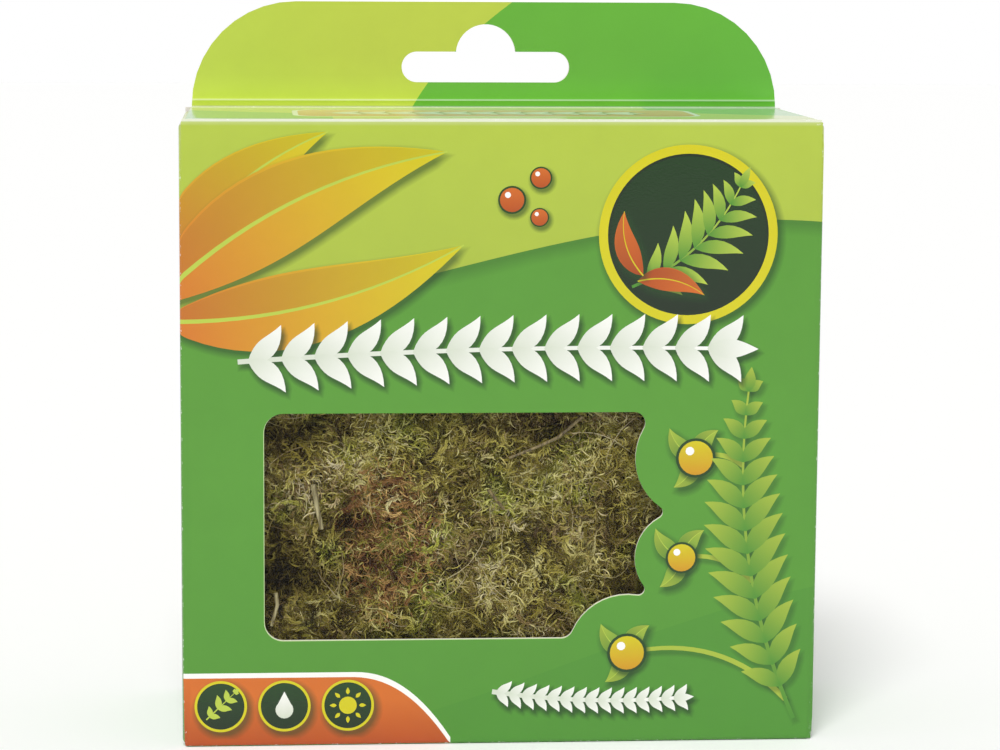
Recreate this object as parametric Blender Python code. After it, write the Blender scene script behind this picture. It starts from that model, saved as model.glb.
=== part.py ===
"""A clump of dried terrarium moss in its window carton, in metres.

The carton stands on its base with the window facing -Y, X to the right and Z up. The origin is on
the floor under the middle of the carton. The folded board is modelled panel by panel, with a small
gap at every crease, and the lid with its tuck flap swings up about the crease below the hang tab.
"""

import math

import bmesh
import bpy
from mathutils import Vector, noise

# Driving dimensions
CARTON_WIDTH = 0.1143
CARTON_DEPTH = 0.0445
CARTON_HEIGHT = 0.1127
TAB_HEIGHT = 0.0200
BOARD = 0.0005
GAP = 0.0003

# Planes that the panels share
HALF_WIDTH = CARTON_WIDTH / 2
HALF_DEPTH = CARTON_DEPTH / 2
FRONT_INSIDE = -HALF_DEPTH + BOARD
BACK_INSIDE = HALF_DEPTH - BOARD
SIDE_INSIDE = HALF_WIDTH - BOARD
TAB_FRONT = HALF_DEPTH - 2 * BOARD

# Hang tab, cut in a little from the side creases, with the standard 32 mm hook slot
TAB_INSET = 0.0014
TAB_CORNER_RADIUS = 0.0197
SLOT_LENGTH = 0.0320
SLOT_HEIGHT = 0.0058
SLOT_MIDDLE_Z = CARTON_HEIGHT + 0.0077
SLOT_BUMP_RADIUS = 0.0057
SLOT_BUMP_RISE = 0.0024

# Window: straight left, top and bottom edges, and three round scallops on the right
WINDOW_LEFT = -0.0424
WINDOW_BOTTOM = 0.0194
WINDOW_TOP = 0.0605
WINDOW_CORNER_RADIUS = 0.0034
SCALLOP_UPPER = (0.0349, 0.0521, 0.0109)
SCALLOP_MIDDLE = (0.0326, 0.0339, 0.0085)
SCALLOP_LOWER = (0.0229, 0.0165, 0.0108)
TOP_FILLET = 0.0020
TIP_FILLET = 0.0011
NOTCH_FILLET = 0.0011
BOTTOM_FILLET = 0.0022
ARC_STEP = math.radians(9)

# Lid, which swings about the crease at the foot of the hang tab
HINGE_Y = TAB_FRONT - 0.0004
LID_SIDE_CLEARANCE = 0.0012
TUCK_LENGTH = 0.0140
TUCK_LEAN = math.radians(10.5)
TUCK_CORNER_RADIUS = 0.0060
TUCK_SIDE_CLEARANCE = 0.0030

# Flaps inside the carton
DUST_FLAP_LENGTH = 0.0380
DUST_FLAP_FRONT = -0.0198
DUST_FLAP_CORNER = 0.0080
BASE_FLAP_LENGTH = 0.0300
GLUE_FLAP_WIDTH = 0.0120

# Film behind the window
FILM = 0.0002
FILM_MARGIN = 0.0045

# Moss clump
MOSS_SIDE = 0.0550
MOSS_FRONT = -0.0196
MOSS_BACK = 0.0194
MOSS_FLOOR = 0.0029
MOSS_TOP = 0.1040
MOSS_ROUNDING = 0.0060
MOSS_LUMP = 0.0010
MOSS_CELL = 0.0034
SHOULDER_START = 0.0680
SHOULDER_END = 0.0960
SHOULDER_SET_BACK = 0.0046
STEM_BED_DEPTH = -0.0191
STEM_BED_RADIUS = 0.0052

# Dry stems on the face of the moss: name, thickness, and points (x, z) along each
STEM_PLANE = -0.0200
STEMS = {
    "dry_stem_upright": (0.0010, ((-0.0336, 0.0473), (-0.0330, 0.0432), (-0.0321, 0.0392))),
    "dry_stem_slanted": (0.0007, ((0.0146, 0.0594), (0.0103, 0.0556), (0.0068, 0.0540), (0.0015, 0.0519))),
    "dry_stem_corner": (0.0008, ((-0.0404, 0.0276), (-0.0401, 0.0254), (-0.0412, 0.0216))),
    "dry_stem_short": (0.0007, ((-0.0022, 0.0462), (-0.0009, 0.0444), (0.0006, 0.0427))),
}

# Colours are linear
INK_GREEN = (0.112, 0.352, 0.058)
INK_LIME = (0.460, 0.610, 0.070)
BARE_BOARD = (0.760, 0.740, 0.680)
CLEAR_FILM = (0.950, 0.960, 0.950)
MOSS_OLIVE = (0.105, 0.095, 0.032)
STRAW = (0.430, 0.370, 0.230)


def clear_scene():
    for old in list(bpy.data.objects):
        bpy.data.objects.remove(old)


def finish_of(name, colour, roughness, alpha=1.0):
    """A plain Principled material."""
    made = bpy.data.materials.new(name)
    made.use_nodes = True
    shader = made.node_tree.nodes["Principled BSDF"]
    shader.inputs["Base Color"].default_value = (*colour, 1.0)
    shader.inputs["Roughness"].default_value = roughness
    shader.inputs["Metallic"].default_value = 0.0
    shader.inputs["Alpha"].default_value = alpha
    made.diffuse_color = (*colour, alpha)
    return made


def new_object(name, mesh, finish):
    made = bpy.data.objects.new(name, mesh)
    bpy.context.scene.collection.objects.link(made)
    if finish is not None:
        made.data.materials.append(finish)
    return made


def board_between(name, lowest, highest, finish):
    """A flat board with square edges between two corners."""
    low, high = Vector(lowest), Vector(highest)
    bm = bmesh.new()
    bmesh.ops.create_cube(bm, size=1.0)
    for corner in bm.verts:
        corner.co = Vector(h if c > 0 else l for c, l, h in zip(corner.co, low, high))
    mesh = bpy.data.meshes.new(name)
    bm.to_mesh(mesh)
    bm.free()
    return new_object(name, mesh, finish)


def prism(name, outline, place, thickness_vector, finish):
    """An outline of flat points, set in space by place() and given a thickness."""
    bm = bmesh.new()
    face = bm.faces.new([bm.verts.new(place(a, b)) for a, b in outline])
    grown = bmesh.ops.extrude_face_region(bm, geom=[face])
    moved = [item for item in grown["geom"] if isinstance(item, bmesh.types.BMVert)]
    bmesh.ops.translate(bm, verts=moved, vec=thickness_vector)
    bmesh.ops.recalc_face_normals(bm, faces=bm.faces)
    mesh = bpy.data.meshes.new(name)
    bm.to_mesh(mesh)
    bm.free()
    return new_object(name, mesh, finish)


def cut_out(target, outline, place, thickness_vector):
    """Cuts a prism of this outline through the target."""
    cutter = prism(target.name + "_cutter", outline, place, thickness_vector, None)
    cutter.hide_render = True
    cutter.display_type = "WIRE"
    cut = target.modifiers.new("cut_out", "BOOLEAN")
    cut.operation = "DIFFERENCE"
    cut.object = cutter


def arc(centre, radius, start, end):
    """Points along an arc from one angle to another, in radians, both ends included."""
    count = max(2, math.ceil(abs(end - start) / ARC_STEP))
    angles = [start + (end - start) * i / count for i in range(count + 1)]
    return [(centre[0] + radius * math.cos(a), centre[1] + radius * math.sin(a)) for a in angles]


def rounded_outline(left, right, bottom, top, radii):
    """A rectangle with its corners rounded: bottom left, bottom right, top right, top left. Radius 0 is square."""
    points = []
    corners = ((left, bottom, 1, 1), (right, bottom, -1, 1), (right, top, -1, -1), (left, top, 1, -1))
    for number, ((x, z, towards_x, towards_z), radius) in enumerate(zip(corners, radii)):
        if radius == 0:
            points.append((x, z))
            continue
        start = math.pi + number * math.pi / 2
        points += arc((x + towards_x * radius, z + towards_z * radius), radius, start, start + math.pi / 2)
    return points


def meeting_point(first, second, left):
    """Where two circles (x, z, radius) cross, on the left or the right of the line from first to second."""
    (ax, az, ar), (bx, bz, br) = first, second
    apart = math.hypot(bx - ax, bz - az)
    along = (ar * ar - br * br + apart * apart) / (2 * apart)
    across = math.sqrt(ar * ar - along * along) * (1 if left else -1)
    ux, uz = (bx - ax) / apart, (bz - az) / apart
    return ax + along * ux - across * uz, az + along * uz + across * ux


def angle_to(start, end):
    return math.atan2(end[1] - start[1], end[0] - start[0])


def turned_to(angle, after):
    """The same direction, written as the first angle at or above another."""
    while angle < after:
        angle += 2 * math.pi
    return angle


def window_outline():
    """The window's edge, going round with the opening on its left: bottom, scallops, top, left."""
    grown = {
        "lower_bottom": (*SCALLOP_LOWER[:2], SCALLOP_LOWER[2] + BOTTOM_FILLET),
        "lower_notch": (*SCALLOP_LOWER[:2], SCALLOP_LOWER[2] + NOTCH_FILLET),
        "middle_notch": (*SCALLOP_MIDDLE[:2], SCALLOP_MIDDLE[2] + NOTCH_FILLET),
        "middle_tip": (*SCALLOP_MIDDLE[:2], SCALLOP_MIDDLE[2] + TIP_FILLET),
        "upper_tip": (*SCALLOP_UPPER[:2], SCALLOP_UPPER[2] + TIP_FILLET),
        "upper_top": (*SCALLOP_UPPER[:2], SCALLOP_UPPER[2] + TOP_FILLET),
    }

    def beside(circle, z):
        """The point at height z on the left side of a circle."""
        return circle[0] - math.sqrt(circle[2] ** 2 - (z - circle[1]) ** 2), z

    bottom = beside(grown["lower_bottom"], WINDOW_BOTTOM + BOTTOM_FILLET)
    notch = meeting_point(grown["lower_notch"], grown["middle_notch"], left=True)
    tip = meeting_point(grown["middle_tip"], grown["upper_tip"], left=True)
    top = beside(grown["upper_top"], WINDOW_TOP - TOP_FILLET)

    def fillet(centre, radius, start, end):
        return arc(centre, radius, start, turned_to(end, start))

    def scallop(circle, entering, leaving):
        start = angle_to(circle, entering) % (2 * math.pi)
        end = angle_to(circle, leaving) % (2 * math.pi)
        return arc(circle, circle[2], start, end)

    right_side = fillet(bottom, BOTTOM_FILLET, -math.pi / 2, angle_to(bottom, SCALLOP_LOWER))
    right_side += scallop(SCALLOP_LOWER, bottom, notch)[1:-1]
    right_side += fillet(notch, NOTCH_FILLET, angle_to(notch, SCALLOP_LOWER), angle_to(notch, SCALLOP_MIDDLE))
    right_side += scallop(SCALLOP_MIDDLE, notch, tip)[1:-1]
    right_side += fillet(tip, TIP_FILLET, angle_to(tip, SCALLOP_MIDDLE), angle_to(tip, SCALLOP_UPPER))
    right_side += scallop(SCALLOP_UPPER, tip, top)[1:-1]
    right_side += fillet(top, TOP_FILLET, angle_to(top, SCALLOP_UPPER), math.pi / 2)

    inset_x = WINDOW_LEFT + WINDOW_CORNER_RADIUS
    upper_corner = (inset_x, WINDOW_TOP - WINDOW_CORNER_RADIUS)
    lower_corner = (inset_x, WINDOW_BOTTOM + WINDOW_CORNER_RADIUS)
    left_side = arc(upper_corner, WINDOW_CORNER_RADIUS, math.pi / 2, math.pi)
    left_side += arc(lower_corner, WINDOW_CORNER_RADIUS, math.pi, 3 * math.pi / 2)
    return right_side + left_side


def slot_outline():
    """The hook slot: a long slot with round ends and a round bump in the middle of its top."""
    half_height = SLOT_HEIGHT / 2
    end_x = SLOT_LENGTH / 2 - half_height
    bump_z = SLOT_MIDDLE_Z + SLOT_BUMP_RISE
    lift = SLOT_MIDDLE_Z + half_height - bump_z
    start = math.asin(lift / SLOT_BUMP_RADIUS)
    points = arc((-end_x, SLOT_MIDDLE_Z), half_height, math.pi / 2, 3 * math.pi / 2)
    points += arc((end_x, SLOT_MIDDLE_Z), half_height, -math.pi / 2, math.pi / 2)
    points += arc((0.0, bump_z), SLOT_BUMP_RADIUS, start, math.pi - start)
    return points


def make_walls(printed):
    """Front with its window, two sides, back and the hang tab."""
    front = board_between(
        "front_panel", (-HALF_WIDTH, -HALF_DEPTH, 0), (HALF_WIDTH, FRONT_INSIDE, CARTON_HEIGHT), printed
    )
    before_front = -HALF_DEPTH - 4 * BOARD
    through_board = Vector((0, 9 * BOARD, 0))
    cut_out(front, window_outline(), lambda x, z: (x, before_front, z), through_board)

    for name, side in (("left_side_panel", -1), ("right_side_panel", 1)):
        faces_x = sorted((side * HALF_WIDTH, side * SIDE_INSIDE))
        board_between(
            name,
            (faces_x[0], FRONT_INSIDE + GAP, 0),
            (faces_x[1], BACK_INSIDE - GAP, CARTON_HEIGHT),
            printed,
        )

    board_between(
        "back_panel", (-HALF_WIDTH, BACK_INSIDE, 0), (HALF_WIDTH, HALF_DEPTH, CARTON_HEIGHT - GAP), printed
    )
    tab_radii = (0, 0, TAB_CORNER_RADIUS, TAB_CORNER_RADIUS)
    tab_half = HALF_WIDTH - TAB_INSET
    tab_outline = rounded_outline(-tab_half, tab_half, CARTON_HEIGHT, CARTON_HEIGHT + TAB_HEIGHT, tab_radii)
    two_boards = Vector((0, 2 * BOARD, 0))
    tab = prism("hang_tab", tab_outline, lambda x, z: (x, TAB_FRONT, z), two_boards, printed)
    before_tab = TAB_FRONT - 4 * BOARD
    cut_out(tab, slot_outline(), lambda x, z: (x, before_tab, z), 5 * two_boards)


def make_floor(printed, bare):
    """Base panel with its tuck flap, and the two base dust flaps that lie on it."""
    base_front = FRONT_INSIDE + GAP
    base_back = BACK_INSIDE - 2 * GAP - BOARD
    inner_x = SIDE_INSIDE - GAP
    board_between("base_panel", (-inner_x, base_front, 0), (inner_x, base_back, BOARD), printed)
    board_between(
        "base_tuck_flap",
        (-inner_x + TUCK_SIDE_CLEARANCE, BACK_INSIDE - GAP - BOARD, 0),
        (inner_x - TUCK_SIDE_CLEARANCE, BACK_INSIDE - GAP, TUCK_LENGTH),
        bare,
    )
    low = BOARD + GAP
    for name, side in (("base_dust_flap_left", -1), ("base_dust_flap_right", 1)):
        reach = sorted((side * inner_x, side * (inner_x - BASE_FLAP_LENGTH)))
        board_between(name, (reach[0], base_front, low), (reach[1], base_back - GAP, low + BOARD), bare)


def make_top_flaps(bare):
    """The two dust flaps that fold in from the sides below the lid, with their front inner corners cut round."""
    top = CARTON_HEIGHT - BOARD - GAP
    inner_x = SIDE_INSIDE - GAP
    back = BACK_INSIDE - GAP
    for name, side in (("dust_flap_left", -1), ("dust_flap_right", 1)):
        tip = inner_x - DUST_FLAP_LENGTH
        radii = (DUST_FLAP_CORNER, 0, 0, DUST_FLAP_CORNER)
        outline = rounded_outline(tip, inner_x, DUST_FLAP_FRONT, back, radii)
        prism(name, outline, lambda x, y, s=side: (s * x, y, top), Vector((0, 0, -BOARD)), bare)

    board_between(
        "glue_flap",
        (-inner_x, BACK_INSIDE - GAP - BOARD, TUCK_LENGTH + 2 * GAP),
        (-inner_x + GLUE_FLAP_WIDTH, BACK_INSIDE - GAP, top - BOARD - 2 * GAP),
        bare,
    )


def make_lid(printed, bare):
    """The lid panel and its tuck flap, parented to an empty on the hinge crease."""
    hinge = bpy.data.objects.new("lid_hinge", None)
    hinge.location = (0, HINGE_Y, CARTON_HEIGHT)
    bpy.context.scene.collection.objects.link(hinge)
    bpy.context.view_layer.update()

    half = HALF_WIDTH - LID_SIDE_CLEARANCE
    lid_front = FRONT_INSIDE + GAP
    lid = board_between(
        "lid_panel",
        (-half, lid_front, CARTON_HEIGHT - BOARD),
        (half, HINGE_Y - GAP, CARTON_HEIGHT),
        printed,
    )

    tuck_half = HALF_WIDTH - TUCK_SIDE_CLEARANCE
    radii = (TUCK_CORNER_RADIUS, TUCK_CORNER_RADIUS, 0, 0)
    outline = rounded_outline(-tuck_half, tuck_half, -TUCK_LENGTH, 0, radii)
    down = Vector((0, math.sin(TUCK_LEAN), -math.cos(TUCK_LEAN)))
    inwards = Vector((0, math.cos(TUCK_LEAN), math.sin(TUCK_LEAN)))
    top_edge = Vector((0, lid_front, CARTON_HEIGHT - BOARD - GAP - BOARD * math.sin(TUCK_LEAN)))

    def on_flap(x, below):
        return Vector((x, 0, 0)) + top_edge - down * below

    tuck = prism("tuck_flap", outline, on_flap, inwards * BOARD, bare)
    for piece in (lid, tuck):
        piece.parent = hinge
        piece.matrix_parent_inverse = hinge.matrix_world.inverted()


def make_film(clear):
    """The clear film glued behind the window, a margin wider than the opening all round."""
    tip_x = SCALLOP_MIDDLE[0]
    front = FRONT_INSIDE + GAP
    board_between(
        "window_film",
        (WINDOW_LEFT - FILM_MARGIN, front, WINDOW_BOTTOM - FILM_MARGIN),
        (tip_x + FILM_MARGIN, front + FILM, WINDOW_TOP + FILM_MARGIN),
        clear,
    )


def distance_to_stem(x, z, points):
    """How far a point of the moss face is from a stem lying on it."""
    here = Vector((x, z))
    nearest = math.inf
    for start, end in zip(points, points[1:]):
        a, b = Vector(start), Vector(end)
        share = max(0.0, min(1.0, (here - a).dot(b - a) / (b - a).length_squared))
        nearest = min(nearest, (here - a.lerp(b, share)).length)
    return nearest


def smooth_step(low, high, value):
    share = max(0.0, min(1.0, (value - low) / (high - low)))
    return share * share * (3 - 2 * share)


def lump(point):
    """How far the moss stands out or falls in here, from -1 to 1: broad tufts with smaller ones on them."""
    broad = noise.noise(point * 95)
    small = noise.noise(point * 230 + Vector((7.1, 3.7, 5.3)))
    return max(-1.0, min(1.0, 1.1 * broad + 0.9 * small))


def moss_point(point):
    """A point of the square block moved onto the rounded, lumpy clump."""
    low = Vector((-MOSS_SIDE, MOSS_FRONT, MOSS_FLOOR))
    high = Vector((MOSS_SIDE, MOSS_BACK, MOSS_TOP))
    core = Vector(
        max(a + MOSS_ROUNDING, min(b - MOSS_ROUNDING, p)) for a, b, p in zip(low, high, point)
    )
    outwards = (point - core).normalized()
    moved = core + outwards * (MOSS_ROUNDING + MOSS_LUMP * lump(point))
    frontness = smooth_step(0.0, MOSS_FRONT, moved.y)
    moved.y += SHOULDER_SET_BACK * frontness * smooth_step(SHOULDER_START, SHOULDER_END, moved.z)
    if point.y <= MOSS_FRONT + 1e-6:
        for _, points in STEMS.values():
            if distance_to_stem(moved.x, moved.z, points) < STEM_BED_RADIUS:
                moved.y = max(moved.y, STEM_BED_DEPTH)
    return moved


def make_moss(olive):
    """The clump: a block gridded finely on every side, then rounded and made lumpy."""
    low = Vector((-MOSS_SIDE, MOSS_FRONT, MOSS_FLOOR))
    size = Vector((2 * MOSS_SIDE, MOSS_BACK - MOSS_FRONT, MOSS_TOP - MOSS_FLOOR))
    bm = bmesh.new()
    bmesh.ops.create_cube(bm, size=1.0)
    for corner in bm.verts:
        corner.co = Vector(l + s * (c + 0.5) for l, s, c in zip(low, size, corner.co))
    for axis in range(3):
        along = [e for e in bm.edges if abs((e.verts[0].co - e.verts[1].co)[axis]) > size[axis] / 2]
        cuts = round(size[axis] / MOSS_CELL) - 1
        bmesh.ops.subdivide_edges(bm, edges=along, cuts=cuts, use_grid_fill=True)
    for vert in bm.verts:
        vert.co = moss_point(vert.co)
    bmesh.ops.recalc_face_normals(bm, faces=bm.faces)
    mesh = bpy.data.meshes.new("moss_clump")
    bm.to_mesh(mesh)
    bm.free()
    mesh.shade_smooth()
    new_object("moss_clump", mesh, olive)


def make_stems(straw):
    """Dry grass stems that lie on the moss behind the window."""
    for name, (thickness, points) in STEMS.items():
        curve = bpy.data.curves.new(name, "CURVE")
        curve.dimensions = "3D"
        curve.bevel_depth = thickness / 2
        curve.bevel_resolution = 2
        curve.use_fill_caps = True
        line = curve.splines.new("POLY")
        line.points.add(len(points) - 1)
        for place, (x, z), number in zip(line.points, points, range(len(points))):
            place.co = (x, STEM_PLANE, z, 1.0)
            place.radius = 1.0 - 0.12 * number
        new_object(name, curve, straw)


def main():
    clear_scene()
    printed = finish_of("printed_board", INK_GREEN, 0.35)
    lid_print = finish_of("printed_lid", INK_LIME, 0.35)
    bare = finish_of("bare_board", BARE_BOARD, 0.80)
    clear = finish_of("clear_film", CLEAR_FILM, 0.08, alpha=0.15)
    olive = finish_of("moss", MOSS_OLIVE, 0.90)
    straw = finish_of("dry_stem", STRAW, 0.70)
    make_walls(printed)
    make_floor(printed, bare)
    make_top_flaps(bare)
    make_lid(lid_print, bare)
    make_film(clear)
    make_moss(olive)
    make_stems(straw)


main()
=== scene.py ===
# %% [markdown]
# # A clump of moss in its window carton
#
# The object is a folding carton with dried terrarium moss packed behind a die-cut window. This
# lesson dresses the plain solids of the part: the carton is cut, printed, creased and folded from
# one flat blank, and the moss is grown from thousands of small leafy shoots.

import math
import random

import bpy
import numpy as np
from mathutils import Euler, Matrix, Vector, noise
from mathutils.geometry import delaunay_2d_cdt


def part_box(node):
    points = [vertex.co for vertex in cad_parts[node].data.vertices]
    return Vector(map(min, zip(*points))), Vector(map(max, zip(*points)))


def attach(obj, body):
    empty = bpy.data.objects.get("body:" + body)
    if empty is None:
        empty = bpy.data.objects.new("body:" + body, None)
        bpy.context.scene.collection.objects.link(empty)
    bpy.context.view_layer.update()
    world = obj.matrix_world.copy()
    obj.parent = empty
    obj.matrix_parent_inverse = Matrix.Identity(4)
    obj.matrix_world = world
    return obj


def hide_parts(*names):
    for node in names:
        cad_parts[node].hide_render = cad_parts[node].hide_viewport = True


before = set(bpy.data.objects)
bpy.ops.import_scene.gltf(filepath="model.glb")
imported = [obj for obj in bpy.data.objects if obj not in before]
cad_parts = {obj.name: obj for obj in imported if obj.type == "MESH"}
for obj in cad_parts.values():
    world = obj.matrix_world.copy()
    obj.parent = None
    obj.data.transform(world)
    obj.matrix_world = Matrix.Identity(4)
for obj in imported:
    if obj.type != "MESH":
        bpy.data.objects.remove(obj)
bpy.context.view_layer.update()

# %% [markdown]
# ## Sizes
#
# Every size comes from the solids, so the dressed carton sits exactly where they are. The blank and
# its print are drawn in millimetres, as a carton maker would, and turned to metres when folded.

# %% Sizes in millimetres
MM = 0.001


def box_mm(node):
    """A solid's lowest and highest corner, in millimetres."""
    low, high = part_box(node)
    return low / MM, high / MM


front_low, front_high = box_mm("front_panel")
tab_low, tab_high = box_mm("hang_tab")
lid_low, lid_high = box_mm("lid_panel")
tuck_low, tuck_high = box_mm("tuck_flap")
film_low, film_high = box_mm("window_film")
flap_low, flap_high = box_mm("dust_flap_left")
glue_low, glue_high = box_mm("glue_flap")
moss_low, moss_high = box_mm("moss_clump")

HALF_W = front_high.x
HALF_D = -front_low.y
HEIGHT = front_high.z
BOARD = front_high.y - front_low.y
TAB_HALF = tab_high.x
TAB_TOP = tab_high.z
CREASE = 0.7
print(f"carton {2 * HALF_W:.1f} x {2 * HALF_D:.1f} x {HEIGHT:.1f} mm, board {BOARD:.2f} mm")

# %% [markdown]
# ## Colours
#
# A colour is written as the hex value that a paint program shows, and one function turns it into
# the linear light values that Blender's shaders work in.

# %% Colours
def ink(hex_value):
    """An sRGB hex colour as linear red, green and blue."""
    parts = np.array([int(hex_value[i:i + 2], 16) / 255 for i in (1, 3, 5)])
    return np.where(parts <= 0.04045, parts / 12.92, ((parts + 0.055) / 1.055) ** 2.4)


GRASS = ink("#56982D")
GRASS_DEEP = ink("#498D29")
FOREST = ink("#14400C")
LIME = ink("#A8BC3B")
LIME_PALE = ink("#B9CD47")
SUN = ink("#D4CB08")
GOLD = ink("#CF8F0A")
GRASS_LIGHT = ink("#68B83A")
LIME_LIGHT = ink("#C9DE50")
# The next colour is used only for the painted highlight on the window's lower and left edges.
LIME_WHITE_HIGHLIGHT = ink("#E8F7BE")
ORANGE = ink("#D46D1D")
ORANGE_DEEP = ink("#B34A08")
ORANGE_PALE = ink("#EBA868")
PAPER = ink("#FAFAF5")
PAPER_DIM = ink("#D4DCC9")

# %% [markdown]
# ## One function for every node
#
# Shader trees and Geometry Nodes trees are both built from Python here. This helper adds a node,
# sets its options, and fills each input with either a value or another node's output.

# %% Add a node
def add(tree, kind, inputs=None, **options):
    """Adds a node with its options, and fills its inputs with values or with other nodes' outputs."""
    node = tree.nodes.new(kind)
    for name, value in options.items():
        setattr(node, name, value)
    for name, value in (inputs or {}).items():
        if isinstance(value, bpy.types.NodeSocket):
            tree.links.new(value, node.inputs[name])
        else:
            node.inputs[name].default_value = value
    return node


def new_material(name):
    """A material with an empty Principled surface; returns it, its tree and the surface node."""
    material = bpy.data.materials.new(name)
    material.use_nodes = True
    tree = material.node_tree
    return material, tree, tree.nodes["Principled BSDF"]


def rgba(colour):
    return (*[float(c) for c in colour], 1.0)


# %% [markdown]
# ## Folding boxboard
#
# The carton is white-lined boxboard about half a millimetre thick: offset printed and varnished
# on the outside, bare and slightly grey inside. Varnish gives a soft satin gloss. The ink is laid on
# the mesh as a colour per corner, so the print stays sharp at any zoom. A second value, wear, runs
# along the creases and cut edges, where the varnish cracks and the white core shows.

# %% Printed and bare board
def board_bump(tree, coordinates, fibre_size, depth):
    """The slight unevenness of pressed paper fibres: fine grain over a broader ripple."""
    fine = add(tree, "ShaderNodeTexNoise", {"Vector": coordinates, "Scale": 1 / fibre_size, "Detail": 4.0})
    broad = add(tree, "ShaderNodeTexNoise", {"Vector": coordinates, "Scale": 0.06 / fibre_size, "Detail": 1.0})
    both = add(tree, "ShaderNodeMath", {0: fine.outputs["Fac"], 1: broad.outputs["Fac"]}, operation="ADD")
    return add(tree, "ShaderNodeBump", {"Height": both.outputs[0], "Strength": 0.25, "Distance": depth})


def make_printed_board():
    material, tree, surface = new_material("varnished_boxboard")
    where = add(tree, "ShaderNodeTexCoord").outputs["Object"]
    print_colour = add(tree, "ShaderNodeVertexColor", layer_name="ink")
    wear = add(tree, "ShaderNodeAttribute", attribute_name="wear")
    mottle = add(tree, "ShaderNodeTexNoise", {"Vector": where, "Scale": 160.0, "Detail": 3.0, "Roughness": 0.6})
    shade = add(tree, "ShaderNodeMapRange", {"Value": mottle.outputs["Fac"], "To Min": 0.955, "To Max": 1.045})
    inked = add(
        tree, "ShaderNodeMix", {0: 1.0, 6: print_colour.outputs["Color"], 7: shade.outputs[0]},
        data_type="RGBA", blend_type="MULTIPLY",
    )
    scuffs = add(tree, "ShaderNodeTexNoise", {"Vector": where, "Scale": 900.0, "Detail": 5.0, "Roughness": 0.75})
    worn = add(
        tree, "ShaderNodeMath", {0: scuffs.outputs["Fac"], 1: wear.outputs["Fac"]}, operation="MULTIPLY"
    )
    bare = add(tree, "ShaderNodeMapRange", {"Value": worn.outputs[0], "From Min": 0.53, "From Max": 0.66})
    final = add(
        tree, "ShaderNodeMix", {0: bare.outputs[0], 6: inked.outputs[2], 7: rgba(PAPER)}, data_type="RGBA"
    )
    tree.links.new(final.outputs[2], surface.inputs["Base Color"])
    rough = add(tree, "ShaderNodeMapRange", {"Value": bare.outputs[0], "To Min": 0.17, "To Max": 0.8})
    tree.links.new(rough.outputs[0], surface.inputs["Roughness"])
    surface.inputs["Specular IOR Level"].default_value = 0.55
    surface.inputs["Sheen Weight"].default_value = 0.25
    surface.inputs["Sheen Roughness"].default_value = 0.3
    bump = board_bump(tree, where, 0.00035, 0.00004)
    tree.links.new(bump.outputs[0], surface.inputs["Normal"])
    return material


def make_bare_board():
    material, tree, surface = new_material("uncoated_boxboard")
    where = add(tree, "ShaderNodeTexCoord").outputs["Object"]
    fibres = add(tree, "ShaderNodeTexNoise", {"Vector": where, "Scale": 700.0, "Detail": 6.0, "Roughness": 0.7})
    tint = add(
        tree, "ShaderNodeMix",
        {0: fibres.outputs["Fac"], 6: rgba(ink("#E4DFD2")), 7: rgba(ink("#F6F4EC"))}, data_type="RGBA",
    )
    tree.links.new(tint.outputs[2], surface.inputs["Base Color"])
    surface.inputs["Roughness"].default_value = 0.85
    surface.inputs["Specular IOR Level"].default_value = 0.25
    bump = board_bump(tree, where, 0.0005, 0.00008)
    tree.links.new(bump.outputs[0], surface.inputs["Normal"])
    return material


PRINTED = make_printed_board()
BARE = make_bare_board()
print("board materials:", PRINTED.name, BARE.name)

# %% [markdown]
# ## Outlines
#
# The print and the blank are made of closed outlines on the flat sheet. These helpers return them
# as arrays of points: rounded rectangles, discs, leaves with a curved midrib, and whole fronds.

# %% Outline helpers
ARC_STEP = math.radians(9)


def arc(centre, radius, start, end):
    """Points of an arc between two angles in radians, both ends included."""
    count = max(2, math.ceil(abs(end - start) / ARC_STEP))
    turn = np.linspace(start, end, count + 1)
    return np.column_stack([centre[0] + radius * np.cos(turn), centre[1] + radius * np.sin(turn)])


def rectangle(left, right, bottom, top, radii=(0, 0, 0, 0)):
    """A rectangle with rounded corners: bottom left, bottom right, top right, top left."""
    corners = ((left, bottom, 1, 1), (right, bottom, -1, 1), (right, top, -1, -1), (left, top, 1, -1))
    points = []
    for number, ((x, y, in_x, in_y), radius) in enumerate(zip(corners, radii)):
        if radius == 0:
            points.append(np.array([[x, y]]))
            continue
        start = math.pi * (1 + number / 2)
        points.append(arc((x + in_x * radius, y + in_y * radius), radius, start, start + math.pi / 2))
    return np.vstack(points)


def disc(centre, across, high=None, steps=40):
    """A round or oval outline, from its half width and half height."""
    turn = np.linspace(0, 2 * math.pi, steps, endpoint=False)
    return np.column_stack([centre[0] + across * np.cos(turn), centre[1] + (high or across) * np.sin(turn)])


def bowed(base, tip, bow, share):
    """Points along a line from base to tip that bows to its left by a share of its length."""
    base, tip = np.array(base, float), np.array(tip, float)
    along = tip - base
    left = np.array([-along[1], along[0]])
    share = np.asarray(share, float)[:, None]
    point = base + share * along + 4 * share * (1 - share) * bow * left
    heading = along + 4 * (1 - 2 * share) * bow * left
    heading = heading / np.linalg.norm(heading, axis=1)[:, None]
    return point, np.column_stack([-heading[:, 1], heading[:, 0]])


def leaf(base, tip, width, bow=0.0, steps=12, fullest=0.8):
    """A pointed leaf around a bowed midrib."""
    share = np.linspace(0, 1, steps + 1)
    middle, left = bowed(base, tip, bow, share)
    half = (width / 2 * np.sin(math.pi * share ** fullest))[:, None]
    right_edge = middle - half * left
    left_edge = middle + half * left
    return np.vstack([right_edge, left_edge[-2:0:-1]])


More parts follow.
